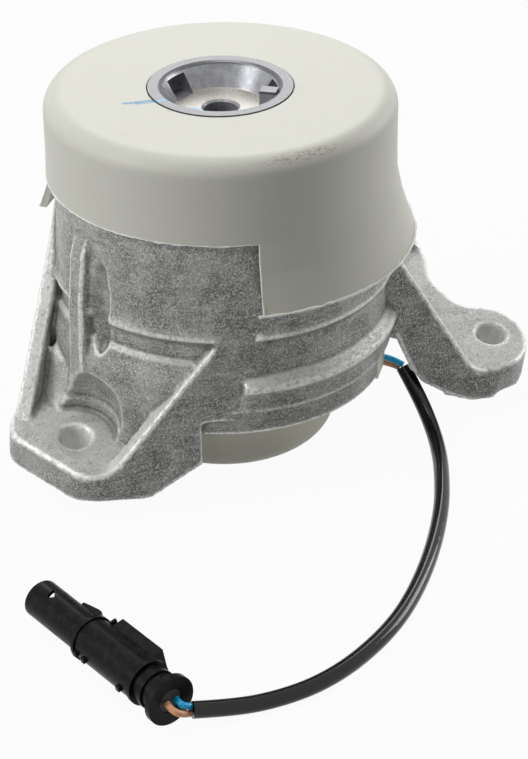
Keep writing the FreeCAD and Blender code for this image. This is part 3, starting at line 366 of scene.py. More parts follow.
EDGE_MASK = effect_group("Edge mask", [("Radius", 0.8 * MM)], ["Mask"], build_edge_mask)
CAST_GRAIN = effect_group("Cast grain", [("Specks per mm", 1.2)],
                          ["Specks", "Clouds", "Lines", "Pits", "Height"], build_cast_grain)
RELIEF = effect_group("Relief", [("Low", 0.005), ("High", 0.025)],
                      ["Painted ridge highlights", "Painted crease shade", "Painted top light"], build_relief)
STROKE = effect_group("Stroke", [("From X", 0.0), ("From Y", 0.0), ("To X", 1.0), ("To Y", 0.0),
                                 ("Width", 1.5)], ["Mask"], build_stroke)
SMUDGES = effect_group("Smudges", [("Marks per mm", 0.05)], ["Mask", "Fine"], build_smudges)


def use_group(nodes: Nodes, group: bpy.types.NodeTree, **values: float) -> bpy.types.Node:
    """Places an effect in a material.

    Args:
        nodes: The material's nodes.
        group: The effect.
        **values: Its inputs, with spaces written as underscores.

    Returns:
        The group node.
    """
    node = nodes.tree.nodes.new("ShaderNodeGroup")
    node.node_tree = group
    for name, value in values.items():
        node.inputs[name.replace("_", " ")].default_value = value
    return node


class Finish:
    """One finish, made into a material the first time it is asked for."""

    name: str = "finish"

    def material(self) -> bpy.types.Material:
        """Returns the material, built once."""
        look = f"{self.name}_look"
        found = bpy.data.materials.get(look)
        if found:
            return found
        made = bpy.data.materials.new(look)
        made.use_nodes = True
        nodes = Nodes(made.node_tree)
        shader = made.node_tree.nodes["Principled BSDF"]
        self.dress(nodes, shader)
        return made

    def dress(self, nodes: Nodes, shader: bpy.types.Node) -> None:
        """Fills the material.

        Args:
            nodes: The material's nodes.
            shader: Its Principled BSDF.
        """
        raise NotImplementedError


def feed(nodes: Nodes, shader: bpy.types.Node, **inputs: object) -> None:
    """Links or sets inputs of the shader, with spaces written as underscores."""
    for name, value in inputs.items():
        socket = shader.inputs[name.replace("_", " ")]
        if isinstance(value, Socket):
            nodes.tree.links.new(value, socket)
        elif isinstance(value, tuple):
            socket.default_value = (*value, 1.0)
        else:
            socket.default_value = value


def bump(nodes: Nodes, height: Socket, depth: float) -> Socket:
    """Turns a height into a normal.

    Args:
        nodes: The material's nodes.
        height: The height, about 0 to 1.
        depth: How deep a height of 1 is, in metres.

    Returns:
        The normal.
    """
    values = {"Height": height, "Distance": depth, "Strength": 1.0}
    return nodes.add("ShaderNodeBump", values).outputs[0]


@dataclass(frozen=True)
class CastMetal(Finish):
    """Raw die-cast alloy with bright specks, painted highlights on its ridges and upward slopes, painted shade in
    its creases and painted light on the walls of its drilled bores.

    The places of the bores are in millimetres, and each share is the strength of a mask.
    """

    name: str = "cast_alloy"
    base: Colour = linear(166, 166, 163)
    dark: Colour = linear(115, 115, 111)
    # bright is the colour of the real specks and flow lines, and also of the painted highlights, the painted top
    # light and the painted bore light.
    bright: Colour = linear(250, 250, 247)
    # crease colour darkens the pits, which are the casting's own marks, and paints shade into the creases.
    crease: Colour = linear(70, 68, 64)
    # share of the painted top light on upward-facing slopes
    painted_top_light_share: float = 0.72
    specks_share: float = 0.5
    lines_share: float = 0.14
    pits_share: float = 0.35
    # share of the painted shade in the creases
    crease_shade_share: float = 0.6
    # share of the painted highlight on the ridges
    ridge_highlight_share: float = 1.0
    # share of the painted light on the bore walls
    bore_light_share: float = 0.85
    specks_per_mm: float = 1.9
    metallic: float = 0.25
    roughness: float = 0.42
    speck_polish: float = 0.14
    shine: float = 0.3
    depth: float = 0.10 * MM
    bores: tuple[Point, ...] = ((-58.5, -19.8, 19.8), (84.5, -19.8, 19.8))
    bore_axis: Point = (0.0, -0.213, 0.977)
    bore_radius: float = 4.8
    bare_from: float = 0.3

    def dress(self, nodes: Nodes, shader: bpy.types.Node) -> None:
        """Mixes the clouds, specks, flow lines and pits of the casting with painted highlights on its ridges and
        upward slopes, painted shade in its creases and painted light in its bores.
        """
        grain = use_group(nodes, CAST_GRAIN, Specks_per_mm=self.specks_per_mm)
        relief = use_group(nodes, RELIEF)
        tone = nodes.mix(grain.outputs["Clouds"], self.dark, self.base)
        # the top, ridge and crease masks lay painted light and shade; specks, lines and pits are the casting's
        # own marks
        for mask, share, over in (
                (relief.outputs["Painted top light"], self.painted_top_light_share, self.bright),
                (grain.outputs["Specks"], self.specks_share, self.bright),
                (grain.outputs["Lines"], self.lines_share, self.bright),
                (grain.outputs["Pits"], self.pits_share, self.crease),
                (relief.outputs["Painted crease shade"], self.crease_shade_share, self.crease),
                (relief.outputs["Painted ridge highlights"], self.ridge_highlight_share, self.bright)):
            tone = nodes.layer(tone, mask, share, over)
        # painted light on the walls of the foot bores
        tone = self.paint_bore_light(nodes, tone)
        bare = nodes.maths("MAXIMUM", grain.outputs["Specks"], relief.outputs["Painted ridge highlights"])
        metal = nodes.ramp(bare, self.bare_from, 1.0, 0.0, self.metallic)
        rough = nodes.ramp(grain.outputs["Specks"], 0.0, 1.0, self.roughness,
                           self.roughness - self.speck_polish)
        feed(nodes, shader, Base_Color=tone, Metallic=metal, Roughness=rough,
             Specular_IOR_Level=self.shine,
             Normal=bump(nodes, grain.outputs["Height"], self.depth))

    def paint_bore_light(self, nodes: Nodes, tone: Socket) -> Socket:
        """Paints light on the walls of the drilled foot holes, standing in for light that shines through the
        bores.
        """
        place = millimetres(nodes)
        for centre in self.bores:
            away = nodes.vectors("SUBTRACT", place, centre).outputs[0]
            along = nodes.vectors("DOT_PRODUCT", away, self.bore_axis).outputs["Value"]
            lengthwise = nodes.vectors("SCALE", self.bore_axis, along).outputs[0]
            beside = nodes.vectors("SUBTRACT", away, lengthwise).outputs[0]
            distance = nodes.vectors("LENGTH", beside).outputs["Value"]
            inside = nodes.ramp(distance, self.bore_radius + BORDER, self.bore_radius,
                                0.0, self.bore_light_share)
            tone = nodes.mix(inside, tone, self.bright)
        return tone


PEN_BLUE = linear(70, 148, 196)
PEN_SHARE = 0.75


def pen_strokes(nodes: Nodes, tone: Socket, strokes: Sequence[Stroke]) -> Socket:
    """Lays strokes of blue paint over a colour.

    Args:
        nodes: The material's nodes.
        tone: The colour below.
        strokes: From X, from Y, to X, to Y and width of each, in millimetres.

    Returns:
        The colour with the strokes.
    """
    for from_x, from_y, to_x, to_y, width in strokes:
        stroke = use_group(nodes, STROKE, From_X=from_x, From_Y=from_y, To_X=to_x, To_Y=to_y,
                           Width=width)
        tone = nodes.layer(tone, stroke.outputs["Mask"], PEN_SHARE, PEN_BLUE)
    return tone


@dataclass(frozen=True)
class MouldedPlastic(Finish):
    """Moulded plastic with a fine grain and a little dirt."""

    name: str = "moulded_plastic"
    base: Colour = linear(222, 222, 211)
    dirt: Colour = linear(120, 112, 98)
    dirt_share: float = 0.25
    roughness: float = 0.52
    roughness_change: float = 0.06
    grain_per_mm: float = 3.0
    depth: float = 0.03 * MM

    def dress(self, nodes: Nodes, shader: bpy.types.Node) -> None:
        """Mixes the base with its smudges."""
        marks = use_group(nodes, SMUDGES)
        tone = nodes.layer(self.base, marks.outputs["Mask"], self.dirt_share, self.dirt)
        tone = self.marked(nodes, tone)
        height = nodes.noise(millimetres(nodes), self.grain_per_mm, 2.0)
        rough = nodes.ramp(marks.outputs["Fine"], *MIDDLE_BAND,
                           self.roughness - self.roughness_change,
                           self.roughness + self.roughness_change)
        feed(nodes, shader, Base_Color=tone, Metallic=0.0, Roughness=rough,
             Normal=bump(nodes, height, self.depth))

    def marked(self, nodes: Nodes, tone: Socket) -> Socket:
        """Adds marks of one piece only; the plain plastic has none."""
        return tone


@dataclass(frozen=True)
class CoverPlastic(MouldedPlastic):
    """The cover's plastic, with pale trimmed edges, scuffs on the shoulder and a paint mark.

    The places of the scuffs and the strokes are in millimetres.
    """

    name: str = "cover_plastic"
    dirt: Colour = linear(122, 104, 82)
    dirt_share: float = 0.07
    trimmed: Colour = linear(250, 249, 240)
    trimmed_share: float = 0.9
    edge_radius: float = 0.5 * MM
    scuff_share: float = 0.7
    scuff_centre: Point = (3.6, -51.2, 113.3)
    scuff_reach: Point = (20.0, 6.0, 1.7)
    strokes: tuple[Stroke, ...] = ((-30.3, 1.0, -26.4, -0.3, 1.5), (-26.4, -0.3, -21.8, -1.2, 2.4))

    def marked(self, nodes: Nodes, tone: Socket) -> Socket:
        """Adds the edges, the scuffs and the paint mark."""
        place = millimetres(nodes)
        edges = use_group(nodes, EDGE_MASK, Radius=self.edge_radius)
        tone = nodes.layer(tone, edges.outputs["Mask"], self.trimmed_share, self.trimmed)
        away = nodes.vectors("SUBTRACT", place, self.scuff_centre).outputs[0]
        near = nodes.vectors("LENGTH", nodes.vectors("DIVIDE", away, self.scuff_reach).outputs[0])
        scuff = nodes.maths("MULTIPLY", nodes.ramp(near.outputs["Value"], 1.0, 0.4),
                            SCUFF_PATCHES.mask(nodes, place))
        tone = nodes.layer(tone, scuff, self.scuff_share, self.dirt)
        return pen_strokes(nodes, tone, self.strokes)


@dataclass(frozen=True)
class BareMetal(Finish):
    """Turned or plated metal with faint turning clouds and a lighter colour on its edges, partly edge wear and
    partly painted highlight.
    """

    name: str = "bare_metal"
    base: Colour = linear(176, 178, 180)
    shade: Colour = linear(128, 129, 130)
    # edge colour, partly edge wear and partly painted highlight
    edge_wear_and_highlight: Colour = linear(206, 207, 208)
    roughness: float = 0.34
    roughness_change: float = 0.07
    edge_wear_and_highlight_share: float = 0.7
    edge_radius: float = 0.4 * MM
    metallic: float = 0.9
    grain_per_mm: float = 2.4
    depth: float = 0.03 * MM

    def dress(self, nodes: Nodes, shader: bpy.types.Node) -> None:
        """Mixes the metal's two tones and lays the lighter edge colour, partly wear and partly painted highlight.
        """
        place = millimetres(nodes)
        edge_marks = use_group(nodes, EDGE_MASK, Radius=self.edge_radius)
        tone = nodes.mix(METAL_CLOUDS.mask(nodes, place), self.shade, self.base)
        tone = nodes.layer(tone, edge_marks.outputs["Mask"], self.edge_wear_and_highlight_share, self.edge_wear_and_highlight)
        tone = self.marked(nodes, tone)
        fine = nodes.noise(place, self.grain_per_mm, 3.0)
        rough = nodes.ramp(fine, *MIDDLE_BAND, self.roughness - self.roughness_change,
                           self.roughness + self.roughness_change)
        feed(nodes, shader, Base_Color=tone, Metallic=self.metallic, Roughness=rough,
             Normal=bump(nodes, fine, self.depth))

    def marked(self, nodes: Nodes, tone: Socket) -> Socket:
        """Adds marks of one piece only; the plain metal has none."""
        return tone


@dataclass(frozen=True)
class CoreMetal(BareMetal):
    """The core's alloy with its grey rim, its sandy floor and a paint mark.

    Heights and strokes are in millimetres.
    """

    name: str = "core_alloy"
    base: Colour = linear(168, 169, 174)
    shade: Colour = linear(146, 147, 152)
    # the core's edge colour is a painted highlight along its edges, partly real wear
    edge_wear_and_highlight: Colour = linear(226, 226, 228)
    roughness: float = 0.3
    metallic: float = 0.3
    sand: Colour = linear(190, 187, 176)
    rim: Colour = linear(94, 95, 97)
    grains_share: float = 0.6
    rim_share: float = 0.85
    floor_height: float = 108.0
    rim_height: float = 114.0
    fade: float = 0.3
    strokes: tuple[Stroke, ...] = ((-21.4, -2.5, -17.9, -1.9, 1.3), (-8.6, 2.6, -6.3, 1.0, 1.3))

    def marked(self, nodes: Nodes, tone: Socket) -> Socket:
        """Adds the sandy floor with its dark grains, the rim and the paint mark."""
        place = millimetres(nodes)
        height = nodes.add("ShaderNodeSeparateXYZ", {0: place}).outputs[2]
        off_floor = nodes.maths("ABSOLUTE", nodes.maths("SUBTRACT", height, self.floor_height))
        grains = SAND_GRAINS.mask(nodes, place)
        sandy = nodes.layer(self.sand, grains, self.grains_share, self.shade)
        tone = nodes.mix(nodes.ramp(off_floor, self.fade, self.fade / 3), tone, sandy)
        on_rim = nodes.ramp(height, self.rim_height, self.rim_height + self.fade, 0.0,
                            self.rim_share)
        tone = nodes.mix(on_rim, tone, self.rim)
        return pen_strokes(nodes, tone, self.strokes)


@dataclass(frozen=True)
class Rubber(Finish):
    """Black rubber with a dull bloom."""

    name: str = "rubber"
    base: Colour = linear(30, 30, 30)
    bloom: Colour = linear(58, 57, 55)
    roughness: float = 0.62
    bloom_roughness: float = 0.12
    grain_per_mm: float = 3.5
    depth: float = 0.03 * MM

    def dress(self, nodes: Nodes, shader: bpy.types.Node) -> None:
        """Mixes the rubber with its bloom."""
        place = millimetres(nodes)
        cloud = RUBBER_BLOOM.mask(nodes, place)
        rough = nodes.ramp(cloud, 0.0, 1.0, self.roughness, self.roughness + self.bloom_roughness)
        feed(nodes, shader, Base_Color=nodes.mix(cloud, self.base, self.bloom), Roughness=rough,
             Normal=bump(nodes, nodes.noise(place, self.grain_per_mm, 3.0), self.depth))


@dataclass(frozen=True)
class SmoothPlastic(Finish):
    """Extruded or moulded plastic with a sheen, for sleeves, wires and the plug."""

    name: str = "smooth_plastic"
    base: Colour = linear(20, 20, 21)
    worn: Colour = linear(44, 44, 45)
    roughness: float = 0.24
    lumps_per_mm: float = 0.5
    depth: float = 0.03 * MM
    shine: float = 0.5
    worn_roughness: float = 0.12

    def dress(self, nodes: Nodes, shader: bpy.types.Node) -> None:
        """Mixes the base with worn clouds."""
        place = millimetres(nodes)
        cloud = PLASTIC_CLOUDS.mask(nodes, place)
        rough = nodes.ramp(cloud, 0.0, 1.0, self.roughness, self.roughness + self.worn_roughness)
        feed(nodes, shader, Base_Color=nodes.mix(cloud, self.base, self.worn), Roughness=rough,
             Specular_IOR_Level=self.shine,
             Normal=bump(nodes, nodes.noise(place, self.lumps_per_mm, 2.0), self.depth))


COVER_PLASTIC = CoverPlastic()
TRIMMED_PLASTIC = MouldedPlastic("trimmed_plastic", linear(254, 253, 248), dirt_share=0.0)
CAN_PLASTIC = MouldedPlastic("can_plastic", linear(252, 250, 234), linear(160, 152, 134),
                             dirt_share=0.25, roughness=0.45)
CAST_ALLOY = CastMetal()
CORE_ALLOY = CoreMetal()
PLATE_ALLOY = BareMetal("plate_alloy", linear(186, 188, 190), linear(150, 152, 154))
ZINCED_STEEL = BareMetal("zinced_steel", linear(170, 170, 164), linear(120, 120, 114),
                         roughness=0.36)
PIN_METAL = BareMetal("pin_metal", linear(190, 188, 180), linear(150, 148, 142), roughness=0.25)
COPPER_WIRE = BareMetal("copper_wire", linear(196, 112, 72), linear(150, 78, 48),
                        linear(220, 140, 100), roughness=0.3)
BUSH_METAL = BareMetal("bush_metal", linear(186, 156, 96), linear(140, 112, 66),
                       linear(214, 190, 130), roughness=0.3)
SPRING_RUBBER = Rubber("spring_rubber")
BOBBIN_PLASTIC = SmoothPlastic("bobbin_plastic", linear(34, 34, 34), linear(56, 56, 56),
                               roughness=0.42)
BLACK_SLEEVING = SmoothPlastic("black_sleeving", linear(12, 12, 12), linear(20, 20, 21),
                               roughness=0.10, shine=0.4)
PLUG_PLASTIC = SmoothPlastic("plug_plastic", linear(14, 14, 15), linear(32, 32, 33),
                             roughness=0.3, lumps_per_mm=2.5, depth=0.02 * MM, shine=0.1)
BLUE_INSULATION = SmoothPlastic("blue_insulation", linear(0, 188, 254), linear(20, 200, 254),
                                roughness=0.35)
BROWN_INSULATION = SmoothPlastic("brown_insulation", linear(252, 180, 134),
                                 linear(254, 194, 152), roughness=0.35)

NODE_FINISHES: dict[str, Finish] = {
    "top_cover": COVER_PLASTIC, "core": CORE_ALLOY, "main_spring": SPRING_RUBBER,
    "spring_ring": ZINCED_STEEL, "stop_plate": ZINCED_STEEL, "housing": CAST_ALLOY,
    "upper_channel_plate": PLATE_ALLOY, "decoupler_membrane": SPRING_RUBBER,
    "lower_channel_plate": PLATE_ALLOY, "bellows": SPRING_RUBBER, "bottom_can": CAN_PLASTIC,
    "retaining_ring": ZINCED_STEEL, "solenoid_yoke": ZINCED_STEEL, "yoke_plate": ZINCED_STEEL,
    "pole_core": ZINCED_STEEL, "guide_bush": BUSH_METAL, "coil_bobbin": BOBBIN_PLASTIC,
    "coil_winding": COPPER_WIRE, "plunger": ZINCED_STEEL, "plunger_cap": BOBBIN_PLASTIC,
    "plunger_spring": ZINCED_STEEL, "wire_grommet": CAN_PLASTIC, "connector_body": PLUG_PLASTIC,
    "connector_lock": PLUG_PLASTIC, "connector_cap": PLUG_PLASTIC, "wire_seal": SPRING_RUBBER,
    "connector_pins": PIN_METAL}


def dress_node(name: str) -> None:
    """Gives a CAD node its finish."""
    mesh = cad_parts[name].data
    material = NODE_FINISHES[name].material()
    mesh.materials.clear()
    mesh.materials.append(material)


def deselect() -> None:
    """Leaves nothing selected."""
    if bpy.context.object and bpy.context.object.mode != "OBJECT":
        bpy.ops.object.mode_set(mode="OBJECT")
    bpy.ops.object.select_all(action="DESELECT")


def finish_piece(piece: bpy.types.Object, name: str, finish: Finish, replaced: Iterable[str]) -> bpy.types.Object:
    """Names a piece, dresses it and lets it ride.

    Args:
        piece: The new object.
        name: Its name.
        finish: Its finish.
        replaced: CAD nodes that it stands for.

    Returns:
        The piece.
    """
    piece.name = name
    piece.data.name = name
    piece.data.materials.clear()
    piece.data.materials.append(finish.material())
    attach(piece, BODY)
    nodes = list(replaced)
    if nodes:
        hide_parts(*nodes)
    LOG.info("%s built", name)
    return piece


def copy_of_node(name: str) -> bpy.types.Object:
    """Copies a CAD node with its own merged mesh, selected and active.

    Args:
        name: The node's name.

    Returns:
        The copy.
    """
    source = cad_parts[name]
    deselect()
    piece = bpy.data.objects.new(f"{name}_copy", source.data.copy())
    bpy.context.scene.collection.objects.link(piece)
    bpy.context.view_layer.objects.active = piece
    piece.select_set(True)
    bpy.ops.object.mode_set(mode="EDIT")
    bpy.ops.mesh.select_all(action="SELECT")
    bpy.ops.mesh.remove_doubles(threshold=WELD)
    bpy.ops.object.mode_set(mode="OBJECT")
    return piece


def apply_modifier(piece: bpy.types.Object, kind: str, **settings: object) -> None:
    """Adds a modifier and applies it.

    Args:
        piece: The active object.
        kind: The modifier's type.
        **settings: Its settings.
    """
    modifier = piece.modifiers.new(kind.lower(), kind)
    for name, value in settings.items():
        setattr(modifier, name, value)
    bpy.ops.object.modifier_apply(modifier=modifier.name)


@dataclass(frozen=True)
class Lamp:
    """One square soft light that faces the object."""

    name: str
    place: Point
    size: float
    watts: float

    def hang(self, target: Point) -> None:
        """Hangs the lamp.

        Args:
            target: The point that it faces.
        """
        data = bpy.data.lights.new(self.name, "AREA")
        data.size = self.size
        data.energy = self.watts
        lamp = bpy.data.objects.new(self.name, data)
        aim = Vector(target) - Vector(self.place)
        turn = aim.to_track_quat("-Z", "Y").to_matrix().to_4x4()
        lamp.matrix_world = Matrix.Translation(self.place) @ turn
        bpy.context.scene.collection.objects.link(lamp)


@dataclass
class Studio:
    """Camera, floor, lamps and world; the camera's angles are degrees."""

    camera_place: Point = (-0.2739, -0.6202, 0.4194)
    heading: float = 24.85
    pitch: float = 30.91
    roll: float = -0.52
    lens: float = 118.6
    sensor: float = 36.0
    floor_size: float = 6.0
    world_light: float = 0.04
    floor_colour: Colour = (0.64, 0.64, 0.64)
    floor_roughness: float = 0.9
    floor_shine: float = 0.1
    floor_glow: float = 0.95
    target: Point = (0.0, -0.02, 0.05)
    lamps: tuple[Lamp, ...] = (
        Lamp("top", (-0.15, 0.10, 1.10), 0.5, 4.3), Lamp("left", (-0.90, 0.02, 0.56), 0.45, 4.1),
        Lamp("right", (0.92, -0.02, 0.34), 0.45, 3.4), Lamp("back", (0.40, 0.85, 0.72), 0.6, 3.8))

    def camera(self) -> None:
        """Places the camera as in the photograph."""
        heading, pitch, roll = (
            math.radians(value) for value in (self.heading, self.pitch, self.roll))
        ahead = Vector((math.sin(heading) * math.cos(pitch), math.cos(heading) * math.cos(pitch),
                        -math.sin(pitch)))
        right = Vector((math.cos(heading), -math.sin(heading), 0.0))
        above = right.cross(ahead)
        tilted_right = right * math.cos(roll) + above * math.sin(roll)
        tilted_up = above * math.cos(roll) - right * math.sin(roll)
        turn = Matrix((tilted_right, tilted_up, -ahead)).transposed().to_4x4()
        data = bpy.data.cameras.new("camera")
        data.lens = self.lens
        data.sensor_width = self.sensor
        camera = bpy.data.objects.new("camera", data)
        camera.matrix_world = Matrix.Translation(self.camera_place) @ turn
        bpy.context.scene.collection.objects.link(camera)
        bpy.context.scene.camera = camera

    def background_rays(self, nodes: Nodes) -> Socket:
        """Picks the rays that show the background: camera, mirror and glass rays.

        Args:
            nodes: The nodes of the floor or the world.

        Returns:
            A value that is 1 for them.
        """
        rays = nodes.add("ShaderNodeLightPath").outputs
        seen = nodes.maths("MAXIMUM", rays["Is Camera Ray"], rays["Is Glossy Ray"])
        return nodes.maths("MAXIMUM", seen, rays["Is Transmission Ray"])

    def floor(self) -> None:
        """Lays a pale floor that looks white to the camera but keeps the shadow."""
        deselect()
        bpy.ops.mesh.primitive_plane_add(size=self.floor_size, location=(0, 0, 0))
        floor = bpy.context.object
        floor.name = "floor"
        material = bpy.data.materials.new("floor")
        material.use_nodes = True
        nodes = Nodes(material.node_tree)
        shader = material.node_tree.nodes["Principled BSDF"]
        feed(nodes, shader, Base_Color=self.floor_colour, Roughness=self.floor_roughness,
             Specular_IOR_Level=self.floor_shine)
        glow = nodes.add("ShaderNodeEmission", {"Color": (1.0, 1.0, 1.0, 1.0), "Strength": 1.0})
        share = nodes.maths("MULTIPLY", self.background_rays(nodes), self.floor_glow)
        blend = nodes.add("ShaderNodeMixShader",
                          {0: share, 1: shader.outputs[0], 2: glow.outputs[0]})
        output = material.node_tree.nodes["Material Output"]
        material.node_tree.links.new(blend.outputs[0], output.inputs["Surface"])
        floor.data.materials.append(material)

    def world(self) -> None:
        """Sets an even pale world that the camera sees as white."""
        world = bpy.data.worlds.new("studio")
        bpy.context.scene.world = world
        world.use_nodes = True
        nodes = Nodes(world.node_tree)
        strength = nodes.ramp(self.background_rays(nodes), 0.0, 1.0, self.world_light, 1.0)
        ground = world.node_tree.nodes["Background"]
        feed(nodes, ground, Color=(1.0, 1.0, 1.0), Strength=strength)

    def build(self) -> None:
        """Builds the whole studio."""
        self.camera()
        self.floor()
        self.world()
        for lamp in self.lamps:
            lamp.hang(self.target)
        bpy.context.scene.view_settings.view_transform = "Standard"


@dataclass
class Casting:
    """The die-cast housing with its softened edges; the corners are in millimetres."""

    voxel: float = 0.72 * MM
    smoothing: int = 9
    corner_smoothing: int = 90
    smooth_factor: float = 0.5
    kept_share: float = 0.46
    soft_corners: tuple[Point, ...] = ((78.7, -34.9, 8.2), (-56.5, -38.4, 8.5))
    soft_reach: float = 11.0

    def soften_corners(self, piece: bpy.types.Object) -> None:
        """Blends the front wall of each foot into the round of its toe.

        Args:
            piece: The dense casting.
        """
        group = piece.vertex_groups.new(name="soft_corners")
        centres = [Vector(corner) * MM for corner in self.soft_corners]
        for vertex in piece.data.vertices:
            distance = min((vertex.co - centre).length for centre in centres)
            share = 1.0 - distance / (self.soft_reach * MM)
            if share > 0.0:
                group.add([vertex.index], min(1.0, 2.0 * share), "REPLACE")
        apply_modifier(piece, "SMOOTH", factor=self.smooth_factor,
                       iterations=self.corner_smoothing, vertex_group=group.name)

    def build(self) -> None:
        """Softens a copy of the casting's solid as a mould does."""
        piece = copy_of_node("housing")
        apply_modifier(piece, "REMESH", mode="VOXEL", voxel_size=self.voxel)
        apply_modifier(piece, "SMOOTH", factor=self.smooth_factor, iterations=self.smoothing)
        self.soften_corners(piece)
        apply_modifier(piece, "DECIMATE", ratio=self.kept_share)
        bpy.ops.object.shade_smooth()
        finish_piece(piece, "housing_casting", CAST_ALLOY, ["housing"])


@dataclass
class SkirtFlash:
    """The thin ragged flash along the trimmed edges of the cover's skirt.

    Each edge has its radius around the axis, its height and the strand's radius, in
    millimetres. The cuts between the long and the short edge stand at two angles, in degrees.
    A wave has its count per millimetre and its size in millimetres. The thickness and its
    wave are shares of the strand's radius. The seed gives the same waves in each run.
    """

    long_edge: Point = (58.55, 68.45, 0.5)
    short_edge: Point = (52.75, 88.9, 0.3)
    cut_from: float = 141.0
    cut_to: float = 257.4
    burr: float = 1.7
    step: float = 1.1
    flare: float = 1.4
    fine_wave: tuple[float, float] = (0.6, 0.22)
    long_wave: tuple[float, float] = (0.12, 0.12)
    thickness: float = 0.75
    thickness_wave: tuple[float, float] = (0.45, 0.6)
    round_steps: int = 2
    seed: int = 5

    def arc(self, radius: float, height: float, start: float, end: float) -> list[Vector]:
        """Points along an arc around the axis, in millimetres.

        Args:
            radius: The arc's radius.
            height: Its height.
            start: Its first angle in degrees.
            end: Its last angle.

        Returns:
            The points, one step apart.
        """
        count = max(2, round(abs(math.radians(end - start)) * radius / self.step))
        angles = [math.radians(start + (end - start) * number / count)
                  for number in range(count + 1)]
        return [Vector((radius * math.cos(angle), radius * math.sin(angle), height))
                for angle in angles]

    def rise(self, angle: float) -> list[Vector]:
        """Points up one of the two upright cuts.

        Args:
            angle: The cut's angle in degrees.

        Returns:
            The points, one step apart.
        """
        (low_radius, low, _), (high_radius, high, _) = self.long_edge, self.short_edge
        count = round((high - low) / self.step)
        turn = math.radians(angle)
        places = []
        for number in range(count + 1):
            share = number / count
            radius = high_radius + (low_radius - high_radius) * (1.0 - share) ** self.flare
            places.append(Vector((radius * math.cos(turn), radius * math.sin(turn),
                                  low + (high - low) * share)))
        return places

    def strand(self, curve: bpy.types.Curve, places: Sequence[Vector], size: float) -> None:
        """Adds one uneven strand to the curve.

        Args:
            curve: The curve.
            places: Its points in millimetres.
            size: Its share of the curve's radius.
        """
        spline = curve.splines.new("POLY")
        spline.points.add(len(places) - 1)
        for point, place in zip(spline.points, places):
            offset = Vector()
            for per_mm, reach in (self.fine_wave, self.long_wave):
                offset += noise.noise_vector(place * per_mm) * reach
            point.co = (*((place + offset) * MM), 1.0)
            per_mm, change = self.thickness_wave
            point.radius = size * (self.thickness + change * noise.noise(place * per_mm))

    def build(self) -> None:
        """Builds the four strands as one piece on the cover."""
        noise.seed_set(self.seed)
        curve = bpy.data.curves.new("skirt_flash", "CURVE")
        curve.dimensions = "3D"
        curve.bevel_depth = self.long_edge[2] * MM
        curve.bevel_resolution = self.round_steps
        curve.use_fill_caps = True
        overhang = math.degrees(self.burr / self.long_edge[0])
        thin = self.short_edge[2] / self.long_edge[2]
        low_start = self.cut_to - 360.0 - overhang
        self.strand(curve, self.arc(*self.long_edge[:2], low_start, self.cut_from), 1.0)
        self.strand(curve, self.arc(*self.short_edge[:2], self.cut_from, self.cut_to), thin)
        for angle in (self.cut_from, self.cut_to):
            self.strand(curve, self.rise(angle), thin)
        piece = bpy.data.objects.new("skirt_flash", curve)
        bpy.context.scene.collection.objects.link(piece)
        finish_piece(piece, "skirt_flash", TRIMMED_PLASTIC, [])


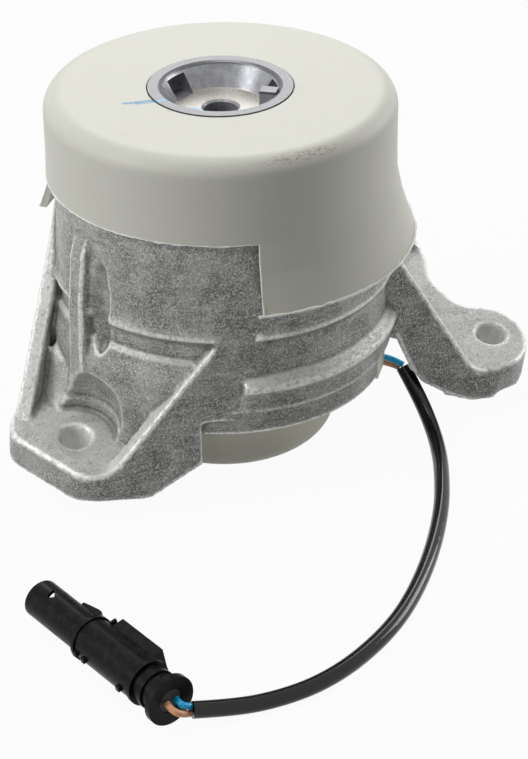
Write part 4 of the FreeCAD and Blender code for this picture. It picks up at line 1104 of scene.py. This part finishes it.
@dataclass
class Lead:
    """The sleeve and the two wires, on routes in millimetres."""

    sleeve_radius: float = 2.4 * MM
    wire_radius: float = 0.95 * MM
    sleeve_length: float = 196.8 * MM
    round_steps: int = 6
    route_steps: int = 10
    order: int = 3
    sleeve_route: Sequence[Point] = (
        (51.7, -22.0, 16.6), (53.6, -30.0, 9.0), (52.4, -41.0, 3.9), (48.4, -53.0, 2.45),
        (42.6, -65.0, 2.45), (34.9, -79.0, 2.45), (22.7, -96.3, 2.45), (8.8, -112.3, 2.45),
        (-5.3, -125.0, 2.45), (-21.6, -134.6, 2.45), (-35.2, -139.4, 2.45), (-47.7, -140.6, 2.45),
        (-60.2, -139.6, 2.9), (-72.0, -137.4, 4.6))
    blue_routes: Sequence[Sequence[Point]] = (
        ((35.0, -13.7, 19.6), (43.4, -17.2, 20.6), (48.8, -20.2, 19.6), (51.4, -22.3, 17.7)),
        ((-72.5, -137.2, 5.8), (-74.1, -137.6, 6.7), (-75.2, -137.0, 7.2), (-75.5, -134.5, 7.4)))
    brown_routes: Sequence[Sequence[Point]] = (
        ((35.0, -13.7, 17.4), (43.0, -16.6, 18.3), (48.2, -19.0, 17.5), (50.9, -20.9, 16.1)),
        ((-72.8, -137.7, 3.9), (-75.9, -139.0, 5.4), (-78.2, -138.0, 7.0), (-78.5, -135.3, 7.4)))

    def tube(self, name: str, routes: Sequence[Sequence[Point]], radius: float) -> bpy.types.Object:
        """Makes one curve with a smooth spline for each route.

        Args:
            name: The curve's name.
            routes: Control points in millimetres.
            radius: The tube's radius.

        Returns:
            The curve object.
        """
        curve = bpy.data.curves.new(name, "CURVE")
        curve.dimensions = "3D"
        curve.bevel_depth = radius
        curve.bevel_resolution = self.round_steps
        curve.use_fill_caps = True
        for route in routes:
            spline = curve.splines.new("NURBS")
            spline.points.add(len(route) - 1)
            for point, place in zip(spline.points, route):
                point.co = (*(value * MM for value in place), 1.0)
            spline.order_u = self.order
            spline.use_endpoint_u = True
            spline.resolution_u = self.route_steps
        piece = bpy.data.objects.new(name, curve)
        bpy.context.scene.collection.objects.link(piece)
        return piece

    def build(self) -> None:
        blue = self.tube("blue_wire", self.blue_routes, self.wire_radius)
        finish_piece(blue, "blue_wire", BLUE_INSULATION, ["wire_blue"])
        brown = self.tube("brown_wire", self.brown_routes, self.wire_radius)
        finish_piece(brown, "brown_wire", BROWN_INSULATION, ["wire_brown"])
        sleeve = self.tube("lead_sleeve", [self.sleeve_route], self.sleeve_radius)
        finish_piece(sleeve, "lead_sleeve", BLACK_SLEEVING, ["cable_sleeve"])


def main() -> None:
    """Builds every class in order and reports each piece."""
    logging.basicConfig(level=logging.INFO, format="%(name)s: %(message)s")
    Studio().build()
    for name in NODE_FINISHES:
        dress_node(name)
    Lead().build()
    Casting().build()
    SkirtFlash().build()


if __name__ == "__main__":
    main()
